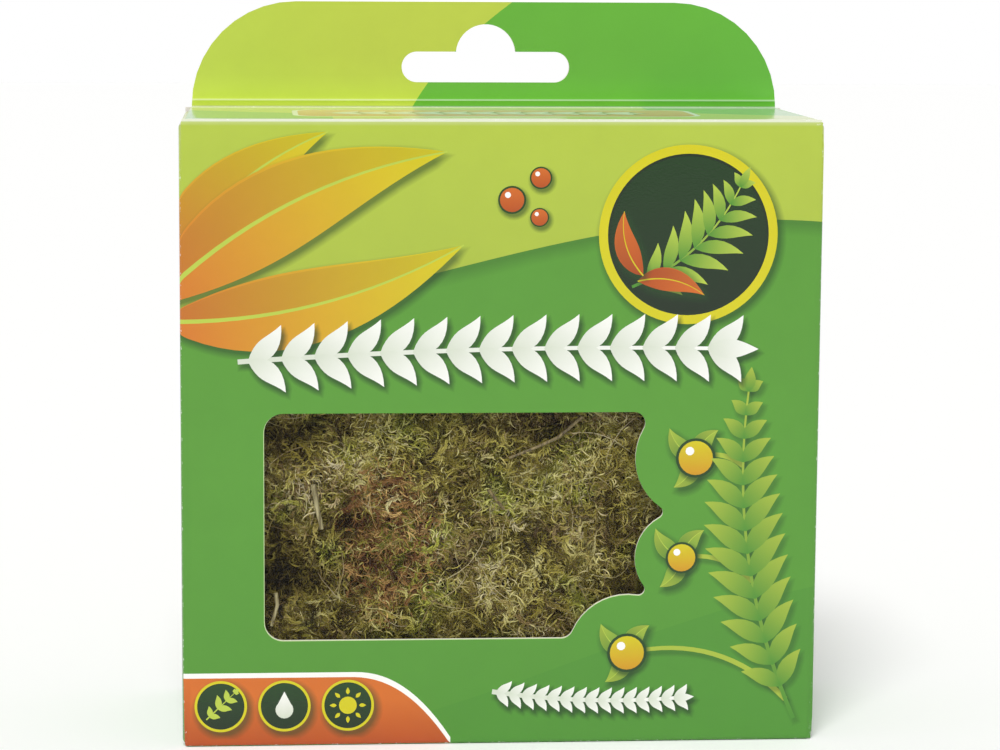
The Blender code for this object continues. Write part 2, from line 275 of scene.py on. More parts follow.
def half_leaf(base, tip, width, bow=0.0, steps=12, fullest=0.8):
    """The part of a leaf on the left of its midrib, for a second tone."""
    share = np.linspace(0, 1, steps + 1)
    middle, left = bowed(base, tip, bow, share)
    half = (width / 2 * np.sin(math.pi * share ** fullest))[:, None]
    return np.vstack([middle, (middle + half * left)[-2:0:-1]])


def strip(base, tip, width, bow=0.0, taper=0.4, steps=16):
    """A thin stem or line that bows and narrows to a share of its width."""
    share = np.linspace(0, 1, steps + 1)
    middle, left = bowed(base, tip, bow, share)
    half = (width / 2 * (1 - (1 - taper) * share))[:, None]
    return np.vstack([middle - half * left, (middle + half * left)[::-1]])


def frond(base, tip, bow, pairs, length, width, lean=0.9):
    """The leaflets of a fern frond, shorter towards its tip, as a list of outlines with its stem."""
    leaflets = [strip(base, tip, width * 0.22, bow)]
    share = np.linspace(0.10, 0.97, pairs)
    middle, left = bowed(base, tip, bow, share)
    ahead = np.column_stack([left[:, 1], -left[:, 0]])
    for i in range(pairs):
        size = max(0.32, math.sin(math.pi * (0.18 + 0.80 * share[i])) ** 0.8)
        for side in (1, -1):
            reach = (side * left[i] + lean * ahead[i]) * length * size / math.hypot(1, lean)
            leaflets.append(leaf(middle[i], middle[i] + reach, width * (0.4 + 0.6 * size), -side * 0.08, 7))
    leaflets.append(leaf(middle[-1], middle[-1] + 0.45 * length * ahead[-1], width * 0.6, 0, 7))
    return leaflets


def grown(outline, distance):
    """The outline pushed outwards by a distance."""
    ahead = np.roll(outline, -1, axis=0) - outline
    ahead = ahead / np.maximum(np.linalg.norm(ahead, axis=1), 1e-9)[:, None]
    normal = np.column_stack([ahead[:, 1], -ahead[:, 0]])
    both = normal + np.roll(normal, 1, axis=0)
    both = both / np.maximum(np.linalg.norm(both, axis=1), 0.6)[:, None]
    return outline + distance * both


# %% [markdown]
# ## Printing
#
# A print is a list of shapes from the back to the front, each with a fill that may fade from one
# colour to another, and a strength that may fall off softly, as under a printed shadow. All outlines
# are handed to a constrained Delaunay triangulation, which cuts the sheet into triangles that no
# outline crosses. Each triangle then takes the colours of the shapes that cover it.

# %% Fills and shapes
def flat(colour):
    return lambda points: np.tile(colour, (len(points), 1))


def fade(first, second, start, end):
    """A straight fade between two colours, from one point of the sheet to another."""
    start, end = np.array(start, float), np.array(end, float)
    way = (end - start) / np.dot(end - start, end - start)

    def fill(points):
        share = np.clip((points - start) @ way, 0, 1)[:, None]
        return first * (1 - share) + second * share

    return fill


def distance_to(points, outline):
    """How far points are from a closed outline."""
    nearest = np.full(len(points), 1e9)
    for a, b in zip(outline, np.roll(outline, -1, axis=0)):
        way = b - a
        share = np.clip(((points - a) @ way) / max(way @ way, 1e-12), 0, 1)[:, None]
        nearest = np.minimum(nearest, np.linalg.norm(points - a - share * way, axis=1))
    return nearest


def inside(points, outline):
    """Which points lie inside a closed outline, by counting crossings."""
    odd = np.zeros(len(points), bool)
    x, y = points[:, 0], points[:, 1]
    for (ax, ay), (bx, by) in zip(outline, np.roll(outline, -1, axis=0)):
        if ay == by:
            continue
        spans = (ay > y) != (by > y)
        odd ^= spans & (x < (bx - ax) * (y - ay) / (by - ay) + ax)
    return odd


def shape(outline, fill, strength=1.0, guides=()):
    return {"outline": outline, "fill": fill, "strength": strength, "guides": guides}


def shadow(outline, spread=1.2, drop=(0.5, -0.7), colour=FOREST, depth=0.7):
    """A soft shadow printed under a shape: full below it, fading over its spread."""
    moved = outline + np.array(drop)
    edge = grown(moved, spread)
    core = grown(moved, -0.15 * spread)

    def strength(points):
        return depth * np.clip(distance_to(points, edge) / (1.1 * spread), 0, 1) ** 1.3

    return shape(edge, flat(colour), strength, guides=(core,))


# %% [markdown]
# ## Cutting the sheet
#
# The blank's own outlines, its holes and its crease lines join the print's outlines in one
# triangulation. Triangles outside the blank or inside a hole are thrown away, as the die does.
# The sheet then gets its thickness: a printed face, a bare back, and raw edges between them.

# %% Cut and print a flat sheet
def loop_edges(start, count):
    return [(start + i, start + (i + 1) % count) for i in range(count)]


def cut_sheet(panels, holes, print_shapes, lines, spacing):
    """Triangles of the flat blank: points, triangles, and the ink at each triangle's corners."""
    loops = list(panels) + list(holes)
    for item in print_shapes:
        loops += [item["outline"], *item["guides"]]
    points, edges = [], []
    for loop in loops:
        edges += loop_edges(len(points), len(loop))
        points += [tuple(p) for p in loop]
    for start, end in lines:
        edges.append((len(points), len(points) + 1))
        points += [start, end]
    everything = np.vstack(panels)
    low, high = everything.min(0), everything.max(0)
    grid_x = np.arange(low[0] + spacing / 2, high[0], spacing)
    grid_y = np.arange(low[1] + spacing / 2, high[1], spacing)
    shift = [0.13 * spacing * (j % 2) for j in range(len(grid_y))]
    grid = np.array([(x + s, y) for y, s in zip(grid_y, shift) for x in grid_x])
    kept = np.any([inside(grid, panel) for panel in panels], axis=0)
    points += [tuple(p) for p in grid[kept]]
    found = delaunay_2d_cdt([Vector(p) for p in points], edges, [], 0, 1e-5, False)
    flat_points = np.array([tuple(p) for p in found[0]])
    triangles = np.array([t for t in found[2] if len(t) == 3])
    corners = flat_points[triangles]
    ab, ac = corners[:, 1] - corners[:, 0], corners[:, 2] - corners[:, 0]
    area = ab[:, 0] * ac[:, 1] - ab[:, 1] * ac[:, 0]
    middle = corners.mean(1)
    keep = np.any([inside(middle, panel) for panel in panels], axis=0) & (np.abs(area) > 1e-7)
    for hole in holes:
        keep &= ~inside(middle, hole)
    triangles, area, middle = triangles[keep], area[keep], middle[keep]
    triangles[area < 0] = triangles[area < 0][:, ::-1]
    return flat_points, triangles, ink_corners(flat_points[triangles], middle, print_shapes)


def ink_corners(corners, middle, print_shapes):
    """Lays the print's shapes over the triangles, back to front, and mixes their inks at each corner."""
    colours = np.tile(PAPER, (len(corners), 3, 1))
    for item in print_shapes:
        low, high = item["outline"].min(0), item["outline"].max(0)
        near = np.flatnonzero(np.all((middle >= low) & (middle <= high), axis=1))
        covered = near[inside(middle[near], item["outline"])]
        if len(covered) == 0:
            continue
        where = corners[covered].reshape(-1, 2)
        strength = item["strength"]
        amount = strength(where)[:, None] if callable(strength) else strength
        under = colours[covered].reshape(-1, 3)
        colours[covered] = (under * (1 - amount) + item["fill"](where) * amount).reshape(-1, 3, 3)
    return colours


# %% [markdown]
# Folding is a function from the flat sheet to the standing carton. It gives the outer face's place
# and the direction that faces out, so the same function makes the inner face one board further in.

# %% Fold a sheet into a solid piece
def fold_sheet(name, sheet, place, wear_at, thickness=None):
    """Folds a cut sheet with place(points) -> (positions, outward directions) and gives it thickness."""
    thickness = BOARD if thickness is None else thickness
    flat_points, triangles, colours = sheet
    used = np.unique(triangles)
    number = np.full(len(flat_points), -1)
    number[used] = np.arange(len(used))
    triangles = number[triangles]
    flat_points = flat_points[used]
    outer, facing = place(flat_points)
    inner = outer - facing * thickness
    count = len(outer)
    sides = np.vstack([triangles[:, [0, 1]], triangles[:, [1, 2]], triangles[:, [2, 0]]])
    key = np.sort(sides, axis=1)
    _, first, times = np.unique(key, axis=0, return_index=True, return_counts=True)
    rim = sides[first[times == 1]]
    faces = [tuple(t) for t in triangles.tolist()]
    faces += [(c + count, b + count, a + count) for a, b, c in triangles.tolist()]
    faces += [(b, a, a + count, b + count) for a, b in rim.tolist()]
    mesh = bpy.data.meshes.new(name)
    mesh.from_pydata((np.vstack([outer, inner]) * MM).tolist(), [], faces)
    mesh.materials.append(PRINTED)
    mesh.materials.append(BARE)
    slots = np.ones(len(faces), np.int32)
    slots[:len(triangles)] = 0
    mesh.polygons.foreach_set("material_index", slots)
    loops = sum(len(f) for f in faces)
    corner_ink = np.tile(np.append(PAPER, 1.0), (loops, 1))
    corner_ink[:3 * len(triangles), :3] = colours.reshape(-1, 3)
    layer = mesh.color_attributes.new("ink", "FLOAT_COLOR", "CORNER")
    layer.data.foreach_set("color", corner_ink.astype(np.float32).ravel())
    wear = mesh.attributes.new("wear", "FLOAT", "POINT")
    wear.data.foreach_set("value", np.tile(wear_at(flat_points), 2).astype(np.float32))
    mesh.shade_smooth()
    mesh.set_sharp_from_angle(angle=math.radians(35))
    made = bpy.data.objects.new(name, mesh)
    bpy.context.scene.collection.objects.link(made)
    print(f"{name}: {2 * len(triangles) + 2 * len(rim)} triangles")
    return made

# %% [markdown]
# ## The blank
#
# The carton is one piece of board: glue flap, left side, front, right side and back in a row, with
# the dust flaps above and below the sides, the base below the front, and the back running up into
# the hang tab. Along the row, u counts millimetres from the middle of the front, and v is height.

# %% Where the panels lie on the blank
GLUE_DEPTH = HALF_D - BOARD - 0.1
CUT_LEFT = -HALF_W - HALF_D - GLUE_DEPTH
CUT_RIGHT = HALF_W + 2 * HALF_D
SHEET_START = CUT_LEFT - (glue_high.x - glue_low.x)
SHEET_END = CUT_RIGHT + 2 * HALF_W - 0.2
BACK_MIDDLE = CUT_RIGHT + HALF_W
SIDE_BOTTOM = BOARD + 0.2
SIDE_TOP = flap_high.z
BASE_LENGTH = 2 * HALF_D - BOARD - 0.15
TUCK_LENGTH = 14.0
DUST_FRONT = HALF_D + flap_low.y
DUST_LENGTH = flap_high.x - flap_low.x

window_left, window_right, window_bottom, window_top = -42.4, 29.0, 19.4, 60.5
SCALLOPS = ((34.9, 52.1, 10.9), (32.6, 33.9, 8.5), (22.9, 16.5, 10.8))
print(f"blank {SHEET_END - SHEET_START:.0f} mm wide")

# %% [markdown]
# The folding function first finds the panel that a point is on, then follows the flat panel or
# the small arc of a crease. A flap leaves its panel at a crease and runs inwards.

# %% Fold the carton
def around_walls(u):
    """Seen from above: where the sheet's u lies, and the direction that faces out of the carton."""
    ends = [SHEET_START, CUT_LEFT, -HALF_W, HALF_W, CUT_RIGHT, SHEET_END]
    starts = [(-HALF_W, GLUE_DEPTH), (-HALF_W, GLUE_DEPTH), (-HALF_W, -HALF_D), (HALF_W, -HALF_D), (HALF_W, HALF_D)]
    ahead = np.array([(-1, 0), (0, -1), (1, 0), (0, 1), (-1, 0)], float)
    outward = np.array([(0, 1), (-1, 0), (0, -1), (1, 0), (0, 1)], float)
    start_u = [CUT_LEFT, CUT_LEFT, -HALF_W, HALF_W, CUT_RIGHT]
    panel = np.clip(np.searchsorted(ends, u, side="right") - 1, 0, 4)
    place = np.array(starts)[panel] + (u - np.array(start_u)[panel])[:, None] * ahead[panel]
    facing = outward[panel]
    for corner in range(1, 5):
        near = np.abs(u - ends[corner]) < CREASE
        turn = (u[near] - ends[corner] + CREASE) / (2 * CREASE) * math.pi / 2
        before, after = outward[corner - 1], outward[corner]
        centre = np.array(starts[corner]) - CREASE * (before + after)
        facing[near] = np.outer(np.cos(turn), before) + np.outer(np.sin(turn), after)
        place[near] = centre + CREASE * facing[near]
    return place, facing


def crease_down(s, z, across, upright, v, at, end_s):
    """Folds what is below v = at inwards, as a floor at that height, and back up beyond end_s."""
    arc_part = (v < at + CREASE) & (v > at - CREASE)
    turn = (at + CREASE - v[arc_part]) / (2 * CREASE) * math.pi / 2
    s[arc_part], z[arc_part] = CREASE * (1 - np.cos(turn)), at + CREASE * (1 - np.sin(turn))
    across[arc_part], upright[arc_part] = np.cos(turn), -np.sin(turn)
    floor = v <= at - CREASE
    s[floor], z[floor], across[floor], upright[floor] = at - v[floor], at, 0, -1
    if end_s is None:
        return
    beyond = at - v - end_s
    turned = np.abs(beyond) < CREASE
    turn = (beyond[turned] + CREASE) / (2 * CREASE) * math.pi / 2
    s[turned], z[turned] = end_s - CREASE * (1 - np.sin(turn)), at + CREASE * (1 - np.cos(turn))
    across[turned], upright[turned] = -np.sin(turn), -np.cos(turn)
    rising = beyond >= CREASE
    s[rising], z[rising], across[rising], upright[rising] = end_s, at + beyond[rising], -1, 0


def crease_up(s, z, across, upright, v, at):
    """Folds what is above v = at inwards, as a roof at that height."""
    arc_part = np.abs(v - at) < CREASE
    turn = (v[arc_part] - at + CREASE) / (2 * CREASE) * math.pi / 2
    s[arc_part], z[arc_part] = CREASE * (1 - np.cos(turn)), at - CREASE * (1 - np.sin(turn))
    across[arc_part], upright[arc_part] = np.cos(turn), np.sin(turn)
    roof = v >= at + CREASE
    s[roof], z[roof], across[roof], upright[roof] = v[roof] - at, at, 0, 1


def bulge(u, v):
    """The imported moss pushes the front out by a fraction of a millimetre."""
    across = np.clip(1 - (u / HALF_W) ** 2, 0, 1)
    high = np.clip(v / HEIGHT, 0, 1)
    return 0.22 * across * np.sin(math.pi * high) ** 0.8


def place_carton(points):
    u, v = points[:, 0], points[:, 1]
    flat_place, facing = around_walls(u)
    s, z = np.zeros(len(u)), v.copy()
    across, upright = np.ones(len(u)), np.zeros(len(u))
    front = np.abs(u) < HALF_W
    sides = ((u > CUT_LEFT) & (u <= -HALF_W)) | ((u >= HALF_W) & (u < CUT_RIGHT))
    for panel, at_bottom, end_s in ((front, 0.0, BASE_LENGTH), (sides, SIDE_BOTTOM, None)):
        part = [values[panel] for values in (s, z, across, upright)]
        crease_down(*part, v[panel], at_bottom, end_s)
        if panel is sides:
            crease_up(*part, v[panel], SIDE_TOP)
        s[panel], z[panel], across[panel], upright[panel] = part
    standing = front & (v > 0)
    s[standing] -= bulge(u[standing], v[standing])
    xy = flat_place - s[:, None] * facing
    outwards = np.column_stack([facing * across[:, None], upright])
    return np.column_stack([xy, z]), outwards


def crease_lines(values, low, high, upright):
    """Lines beside each crease, close enough together to make its small arc."""
    lines = []
    for value in values:
        for step in (-1.3, -CREASE, -CREASE / 2, 0, CREASE / 2, CREASE, 1.3):
            ends = ((value + step, low), (value + step, high))
            lines.append(ends if upright else tuple((b, a) for a, b in ends))
    return lines


# %% [markdown]
# ## The window
#
# The die cuts straight edges on the left, and three round scallops on the right whose corners are
# rounded off with small fillets. A fillet's centre is where two grown circles cross.

# %% The window's outline
def crossing(first, second):
    """Where two circles (x, y, radius) cross, on the left of the line from first to second."""
    (ax, ay, ar), (bx, by, br) = first, second
    apart = math.hypot(bx - ax, by - ay)
    along = (ar * ar - br * br + apart * apart) / (2 * apart)
    aside = math.sqrt(ar * ar - along * along)
    ux, uy = (bx - ax) / apart, (by - ay) / apart
    return ax + along * ux - aside * uy, ay + along * uy + aside * ux


def window_outline(corner=3.4, small=1.1, lower=2.2, upper=2.0):
    top, middle, bottom = SCALLOPS

    def grow(circle, by):
        return circle[0], circle[1], circle[2] + by

    def beside(circle, y):
        return circle[0] - math.sqrt(circle[2] ** 2 - (y - circle[1]) ** 2), y

    def angle(a, b):
        return math.atan2(b[1] - a[1], b[0] - a[0])

    fillets = [
        (beside(grow(bottom, lower), window_bottom + lower), lower, None, bottom),
        (crossing(grow(bottom, small), grow(middle, small)), small, bottom, middle),
        (crossing(grow(middle, small), grow(top, small)), small, middle, top),
        (beside(grow(top, upper), window_top - upper), upper, top, None),
    ]
    points = []
    for centre, radius, before, after in fillets:
        if before is not None:
            start = angle(before, previous) % (2 * math.pi)
            end = angle(before, centre) % (2 * math.pi)
            points.append(arc(before, before[2], start, end)[1:-1])
        start = -math.pi / 2 if before is None else angle(centre, before)
        end = math.pi / 2 if after is None else angle(centre, after)
        while end < start:
            end += 2 * math.pi
        points.append(arc(centre, radius, start, end))
        previous = centre
    left = window_left + corner
    points.append(arc((left, window_top - corner), corner, math.pi / 2, math.pi))
    points.append(arc((left, window_bottom + corner), corner, math.pi, 1.5 * math.pi))
    return np.vstack(points)


def slot_outline(middle_u):
    """The hook slot of the hang tab: round ends and a round bump in the middle of its top."""
    half_length, half_height, bump, rise = 16.0, 2.9, 5.7, 2.4
    z = HEIGHT + 7.7
    end = half_length - half_height
    start = math.asin((half_height - rise) / bump)
    return np.vstack([
        arc((middle_u - end, z), half_height, math.pi / 2, 1.5 * math.pi),
        arc((middle_u + end, z), half_height, -math.pi / 2, math.pi / 2),
        arc((middle_u, z + rise), bump, start, math.pi - start),
    ])


WINDOW = window_outline()
print("window outline:", len(WINDOW), "points")

# %% Lay out the blank
def blank_panels():
    """The closed outlines that together make the blank."""
    wing = HALF_W - 0.8
    tuck = HALF_W - 3.6
    tab = (BACK_MIDDLE - TAB_HALF, BACK_MIDDLE + TAB_HALF)
    base_end = -BASE_LENGTH - TUCK_LENGTH
    panels = [
        rectangle(SHEET_START, CUT_LEFT, glue_low.z, glue_high.z, (3, 0, 0, 3)),
        rectangle(CUT_LEFT, -HALF_W, SIDE_BOTTOM, SIDE_TOP),
        rectangle(-HALF_W, HALF_W, 0, HEIGHT),
        rectangle(HALF_W, CUT_RIGHT, SIDE_BOTTOM, SIDE_TOP),
        rectangle(CUT_RIGHT, SHEET_END, 0, HEIGHT),
        rectangle(*tab, HEIGHT, TAB_TOP, (0, 0, TAB_TOP - HEIGHT - 0.3, TAB_TOP - HEIGHT - 0.3)),
        rectangle(-wing, wing, -BASE_LENGTH, 0),
        rectangle(-tuck, tuck, base_end, -BASE_LENGTH, (6, 6, 0, 0)),
    ]
    for back, front in ((CUT_LEFT, -HALF_W), (CUT_RIGHT, HALF_W)):
        way = 1 if front > back else -1
        low, high = sorted((back + way * 0.9, front - way * DUST_FRONT))
        round_left = 8 if way < 0 else 0
        panels.append(rectangle(low, high, SIDE_TOP, SIDE_TOP + DUST_LENGTH, (0, 0, 8 - round_left, round_left)))
        low, high = sorted((back + way * 0.9, front - way * 0.9))
        panels.append(rectangle(low, high, SIDE_BOTTOM - 30, SIDE_BOTTOM, (2, 2, 0, 0)))
    return panels


panels = blank_panels()
holes = [WINDOW, slot_outline(BACK_MIDDLE)]
lines = crease_lines((CUT_LEFT, -HALF_W, HALF_W, CUT_RIGHT), 0, SIDE_TOP, True)
lines += crease_lines((0, -BASE_LENGTH), -HALF_W + 1, HALF_W - 1, False)
for left, right in ((CUT_LEFT, -HALF_W), (HALF_W, CUT_RIGHT)):
    lines += crease_lines((SIDE_BOTTOM, SIDE_TOP), left + 1, right - 1, False)
print("blank:", len(panels), "panels and flaps,", len(holes), "holes")

# %% [markdown]
# ## The print
#
# The print is a plain garden design of this lesson's own: a lime hill over grass green, golden
# leaves, a fern medallion, a white garland and a few berries. It carries no words.

# %% Motifs
def wave(u):
    """The height of the hill line that runs round the carton."""
    return 86 + 9 * np.sin((u + 10) / HALF_W * 1.6)


def hill(left, right, top, line, steps=40):
    """The area between a line over u and a straight top or bottom."""
    u = np.linspace(left, right, steps)
    return np.vstack([np.column_stack([u, line(u)]), [[right, top], [left, top]]])


def painted_leaf(base, tip, width, bow, dark, light, vein):
    """A leaf with a soft shadow, a darker half and a pale midrib."""
    steps = 12 if width < 6 else 22
    whole = leaf(base, tip, width, bow, steps)
    return [
        shadow(whole),
        shape(whole, fade(dark, light, base, tip)),
        shape(half_leaf(base, tip, width * 0.94, bow, steps), fade(dark * 0.82, light * 0.86, base, tip)),
        shape(strip(base, tip, width * 0.06, bow, 0.3), flat(vein)),
    ]


def berry(centre, radius, skin, light):
    """A round berry with a rim and a small highlight."""
    glint = (centre[0] - 0.3 * radius, centre[1] + 0.35 * radius)
    low, high = (centre[0], centre[1] - radius), (centre[0], centre[1] + radius)
    return [
        shadow(disc(centre, radius, steps=24), spread=0.7, drop=(0.3, -0.5)),
        shape(disc(centre, radius, steps=24), flat(FOREST)),
        shape(disc(centre, radius * 0.86, steps=24), fade(skin, light, low, high)),
        shape(disc(glint, radius * 0.22, steps=10), flat(PAPER)),
    ]


def garland(base, tip, bow, pairs, length, width, colour, under):
    """Leaves in pairs along a bowed line, each with a printed shadow."""
    share = np.linspace(0.02, 0.93, pairs)
    middle, left = bowed(base, tip, bow, share)
    ahead = np.column_stack([left[:, 1], -left[:, 0]])
    leaves = [strip(base, tip, 0.9, bow, 0.7)]
    for i in range(pairs):
        for side in (1, -1):
            reach = (side * 0.72 * left[i] + 0.75 * ahead[i]) * length
            leaves.append(leaf(middle[i], middle[i] + reach, width, -side * 0.10, 9))
    leaves.append(leaf(middle[-1], middle[-1] + ahead[-1] * length * 1.1, width, 0, 9))
    shadows = [shadow(outline, spread=0.9, drop=(0.45, -0.75), depth=0.8) for outline in leaves]
    return shadows + [shape(outline, fade(under, colour, outline[0], outline[len(outline) // 2])) for outline in leaves]


def badge(centre, radius, rim, field):
    """A round field with a coloured rim, for an icon."""
    low, high = (centre[0], centre[1] - radius), (centre[0], centre[1] + radius)
    return [
        shadow(disc(centre, radius, steps=72)),
        shape(disc(centre, radius, steps=72), flat(rim)),
        shape(disc(centre, radius * 0.90, steps=72), flat(FOREST * 0.4)),
        shape(disc(centre, radius * 0.87, steps=72), fade(field * 0.35, field, low, high)),
    ]


def drop_outline(centre, size):
    """A water drop, point up."""
    turn = np.linspace(-0.25 * math.pi, 1.25 * math.pi, 15)
    round_part = np.column_stack([np.cos(turn - math.pi / 2 + math.pi / 2), np.sin(turn)]) * [1, -1]
    return np.vstack([round_part[::-1], [[0.0, 2.1]]]) * size + np.array(centre)


print("hill line on the front from", round(float(wave(-HALF_W)), 1), "to", round(float(wave(HALF_W)), 1), "mm")

# %% The front's print
def front_print():
    shapes = [shape(hill(-HALF_W, HALF_W, 0, lambda u: 15 + 16 * np.sin(u / HALF_W * 1.3 - 0.3)), flat(GRASS_DEEP), 0.55)]
    for base, tip, width, bow in (
        ((-61, 82), (-31, 110.5), 12, 0.10),
        ((-62, 80), (-10, 107), 15.5, 0.08),
        ((-61, 77), (-7, 90.5), 13.5, -0.07),
    ):
        shapes += painted_leaf(base, tip, width, bow, ORANGE, SUN, LIME_PALE)
    medallion = (33, 92.3)
    shapes += badge(medallion, 16.0, SUN, FOREST * 0.8)
    sprig = frond((23.0, 83.0), (42.5, 101.5), -0.10, 8, 9.0, 2.5)
    shapes += [shape(outline, fade(GRASS_DEEP, LIME_PALE, outline[0], outline[len(outline) // 2])) for outline in sprig]
    for base, tip in (((24, 84), (36, 81.5)), ((25, 85), (21.5, 96.5))):
        shapes += painted_leaf(base, tip, 4.2, 0.12, ORANGE_DEEP, ORANGE, SUN)
    for centre, radius in (((1.5, 98.5), 2.5), ((6.6, 102.4), 2.0), ((6.4, 95.4), 1.7)):
        shapes += berry(centre, radius, ORANGE_DEEP, ORANGE)
    vine_base, vine_tip, vine_bow = (53.5, 4), (44.5, 66), 0.07
    roots, _ = bowed(vine_base, vine_tip, vine_bow, (0.76, 0.42, 0.06))
    for (x, y, radius), size, root in zip(SCALLOPS, (3.6, 2.9, 3.6), roots):
        stalk = strip(root, (x, y), 1.0, -0.14, 0.7)
        shapes += [shadow(stalk, spread=0.6, depth=0.4), shape(stalk, flat(LIME))]
        for turn, long in ((2.3, 7.2), (-2.2, 6.6), (0.9, 6.4)):
            tip = (x + long * math.cos(turn), y + long * math.sin(turn))
            shapes += painted_leaf((x, y), tip, 3.4, 0.12, GRASS_DEEP, LIME, LIME_PALE)
        shapes += berry((x, y), size, GOLD, SUN)
    vine = frond(vine_base, vine_tip, vine_bow, 14, 10.0, 3.5)
    shapes += [shadow(outline, spread=0.8, depth=0.45) for outline in vine]
    shapes += [shape(outline, fade(GRASS_DEEP, LIME, outline[0], outline[len(outline) // 2])) for outline in vine]
    shapes += garland((-1.5, 9.6), (34, 8.2), -0.03, 15, 3.4, 1.5, PAPER, PAPER_DIM)
    shapes += garland((-47, 69.8), (43, 71.8), 0.012, 15, 8.4, 3.5, PAPER, PAPER_DIM)
    ribbon = hill(-HALF_W, -9, 0, lambda u: 12.6 - 12.6 * np.clip((u + 27) / 18, 0, 1) ** 2.2)
    line = hill(-HALF_W, -9, 0, lambda u: 13.5 - 13.5 * np.clip((u + 26.4) / 18.2, 0, 1) ** 2.2)
    shapes += [shape(line, flat(PAPER)), shape(ribbon, fade(ORANGE_DEEP, ORANGE, (0, 0), (0, 9)))]
    for number in range(3):
        centre = (-50.3 + 11.4 * number, 7.4)
        shapes += badge(centre, 4.7, SUN, FOREST)
        x, y = centre
        if number == 0:
            shapes += [shape(outline, flat(LIME_PALE)) for outline in frond((x - 2.6, y - 2.4), (x + 2.6, y + 2.6), 0, 4, 2.6, 1.2)]
        elif number == 1:
            shapes.append(shape(drop_outline((x, y - 0.7), 1.6), fade(PAPER_DIM, PAPER, (x, y - 2), (x, y + 2))))
        else:
            shapes.append(shape(disc(centre, 1.6, steps=20), flat(SUN)))
            for turn in np.linspace(0, 2 * math.pi, 8, endpoint=False):
                way = np.array([math.cos(turn), math.sin(turn)])
                shapes.append(shape(leaf(centre + 2.0 * way, centre + 3.3 * way, 0.7, steps=4), flat(SUN)))
    return shapes


def side_print(middle):
    """A deep green frond with berries, up the middle of a side."""
    stem = frond((middle, 12), (middle + 2, 96), 0.05, 15, 14, 4.6)
    shapes = [shadow(outline, spread=0.8, depth=0.35) for outline in stem]
    shapes += [shape(outline, fade(GRASS_DEEP, LIME, outline[0], outline[len(outline) // 2])) for outline in stem]
    for step, height in enumerate((22, 40, 58)):
        shapes += berry((middle + (9 if step % 2 else -9), height), 1.9, GOLD, SUN)
    return shapes


def back_print():
    """A pale bare panel with a thin rule round it, a garland above and fern leaves at its corners."""
    m = BACK_MIDDLE
    rounds = (5, 5, 5, 5)
    shapes = [
        shadow(rectangle(m - 45, m + 45, 13, 76, rounds), spread=1.4),
        shape(rectangle(m - 45, m + 45, 13, 76, rounds), fade(LIME_PALE, PAPER, (0, 13), (0, 76))),
        shape(rectangle(m - 43, m + 43, 15, 74, (3.5,) * 4), flat(GRASS)),
        shape(rectangle(m - 42.6, m + 42.6, 15.4, 73.6, (3.2,) * 4), fade(LIME_PALE, PAPER, (0, 13), (0, 76))),
    ]
    for way in (-1, 1):
        for tip_x, tip_y, bow in ((14, 33, 0.12), (24, 27, 0.06), (33, 14, -0.05)):
            base, tip = (m + way * 53, 5), (m + way * tip_x, tip_y)
            shapes += painted_leaf(base, tip, 8.5, way * bow, GRASS_DEEP, LIME, LIME_PALE)
    shapes += garland((m - 40, 93), (m + 36, 93), 0.02, 13, 7.4, 3.1, PAPER, PAPER_DIM)
    for offset in (-9, 0, 9):
        shapes += berry((m + offset, 83.5 + (0.8 if offset == 0 else 0)), 2.2, ORANGE_DEEP, ORANGE)
    return shapes


def carton_print():
    """Everything printed on the blank, from the ground up, with painted highlights along the front's top edge and the
    window's lower and left edges.
    """
    grass = fade(GRASS_DEEP, GRASS, (0, -30), (0, 45))
    lime = fade(LIME, LIME_PALE, (0, 80), (0, 125))
    shapes = [
        shape(rectangle(CUT_LEFT - 2.5, SHEET_END + 1, SIDE_BOTTOM - 2.5, SIDE_TOP + 2.5), grass),
        shape(rectangle(-HALF_W, HALF_W, -BASE_LENGTH - 3, HEIGHT + 1), grass),
        shape(rectangle(CUT_RIGHT, SHEET_END + 1, -1, TAB_TOP + 1), grass),
        shadow(hill(CUT_LEFT - 2.5, SHEET_END + 1, SIDE_TOP + 5, wave, 150), spread=2.0, drop=(0, -0.9), depth=0.35),
        shape(hill(CUT_LEFT - 2.5, SHEET_END + 1, SIDE_TOP + 5, wave, 150), lime),
        shape(rectangle(CUT_RIGHT, SHEET_END + 1, SIDE_TOP + 4.9, TAB_TOP + 1), lime),
    ]
    shapes += front_print()
    shapes += side_print((CUT_LEFT - HALF_W) / 2) + side_print((CUT_RIGHT + HALF_W) / 2)
    # Pale line along the front's top edge, fading downwards: partly the whitened board of the edge, partly a painted
    # highlight where the edge catches the light from above.
    shapes.append(shape(rectangle(-HALF_W + 0.5, HALF_W - 0.5, HEIGHT - 0.42, HEIGHT + 1), flat(PAPER), 0.6))
    shapes.append(shape(
        rectangle(-HALF_W + 0.5, HALF_W - 0.5, HEIGHT - 1.2, HEIGHT + 1), flat(PAPER),
        lambda points: 0.22 * np.clip((points[:, 1] - HEIGHT + 1.2) / 0.8, 0, 1),
    ))
    # A pale rim that peeks out only below and left of the window: a painted highlight on the cut edges that face the
    # light, which the shaded top edge lacks.
    shapes.append(shape(grown(WINDOW, 0.06) + np.array([-0.05, -0.08]), flat(LIME_WHITE_HIGHLIGHT), 0.7))
    return shapes + back_print()


printed_shapes = carton_print()
print("printed shapes:", len(printed_shapes))

# %% Cut, print and fold the carton
def near_lines(points, verticals, horizontals, reach=1.3):
    """1 on a crease or cut line, falling to 0 at its reach, for the wear of the varnish."""
    gap = np.min([np.abs(points[:, 0] - x) for x in verticals] + [np.abs(points[:, 1] - y) for y in horizontals], axis=0)
    return np.clip(1 - gap / reach, 0, 1)


def carton_wear(points):
    return near_lines(points, (CUT_LEFT, -HALF_W, HALF_W, CUT_RIGHT), (0.0, SIDE_TOP, HEIGHT, -BASE_LENGTH))


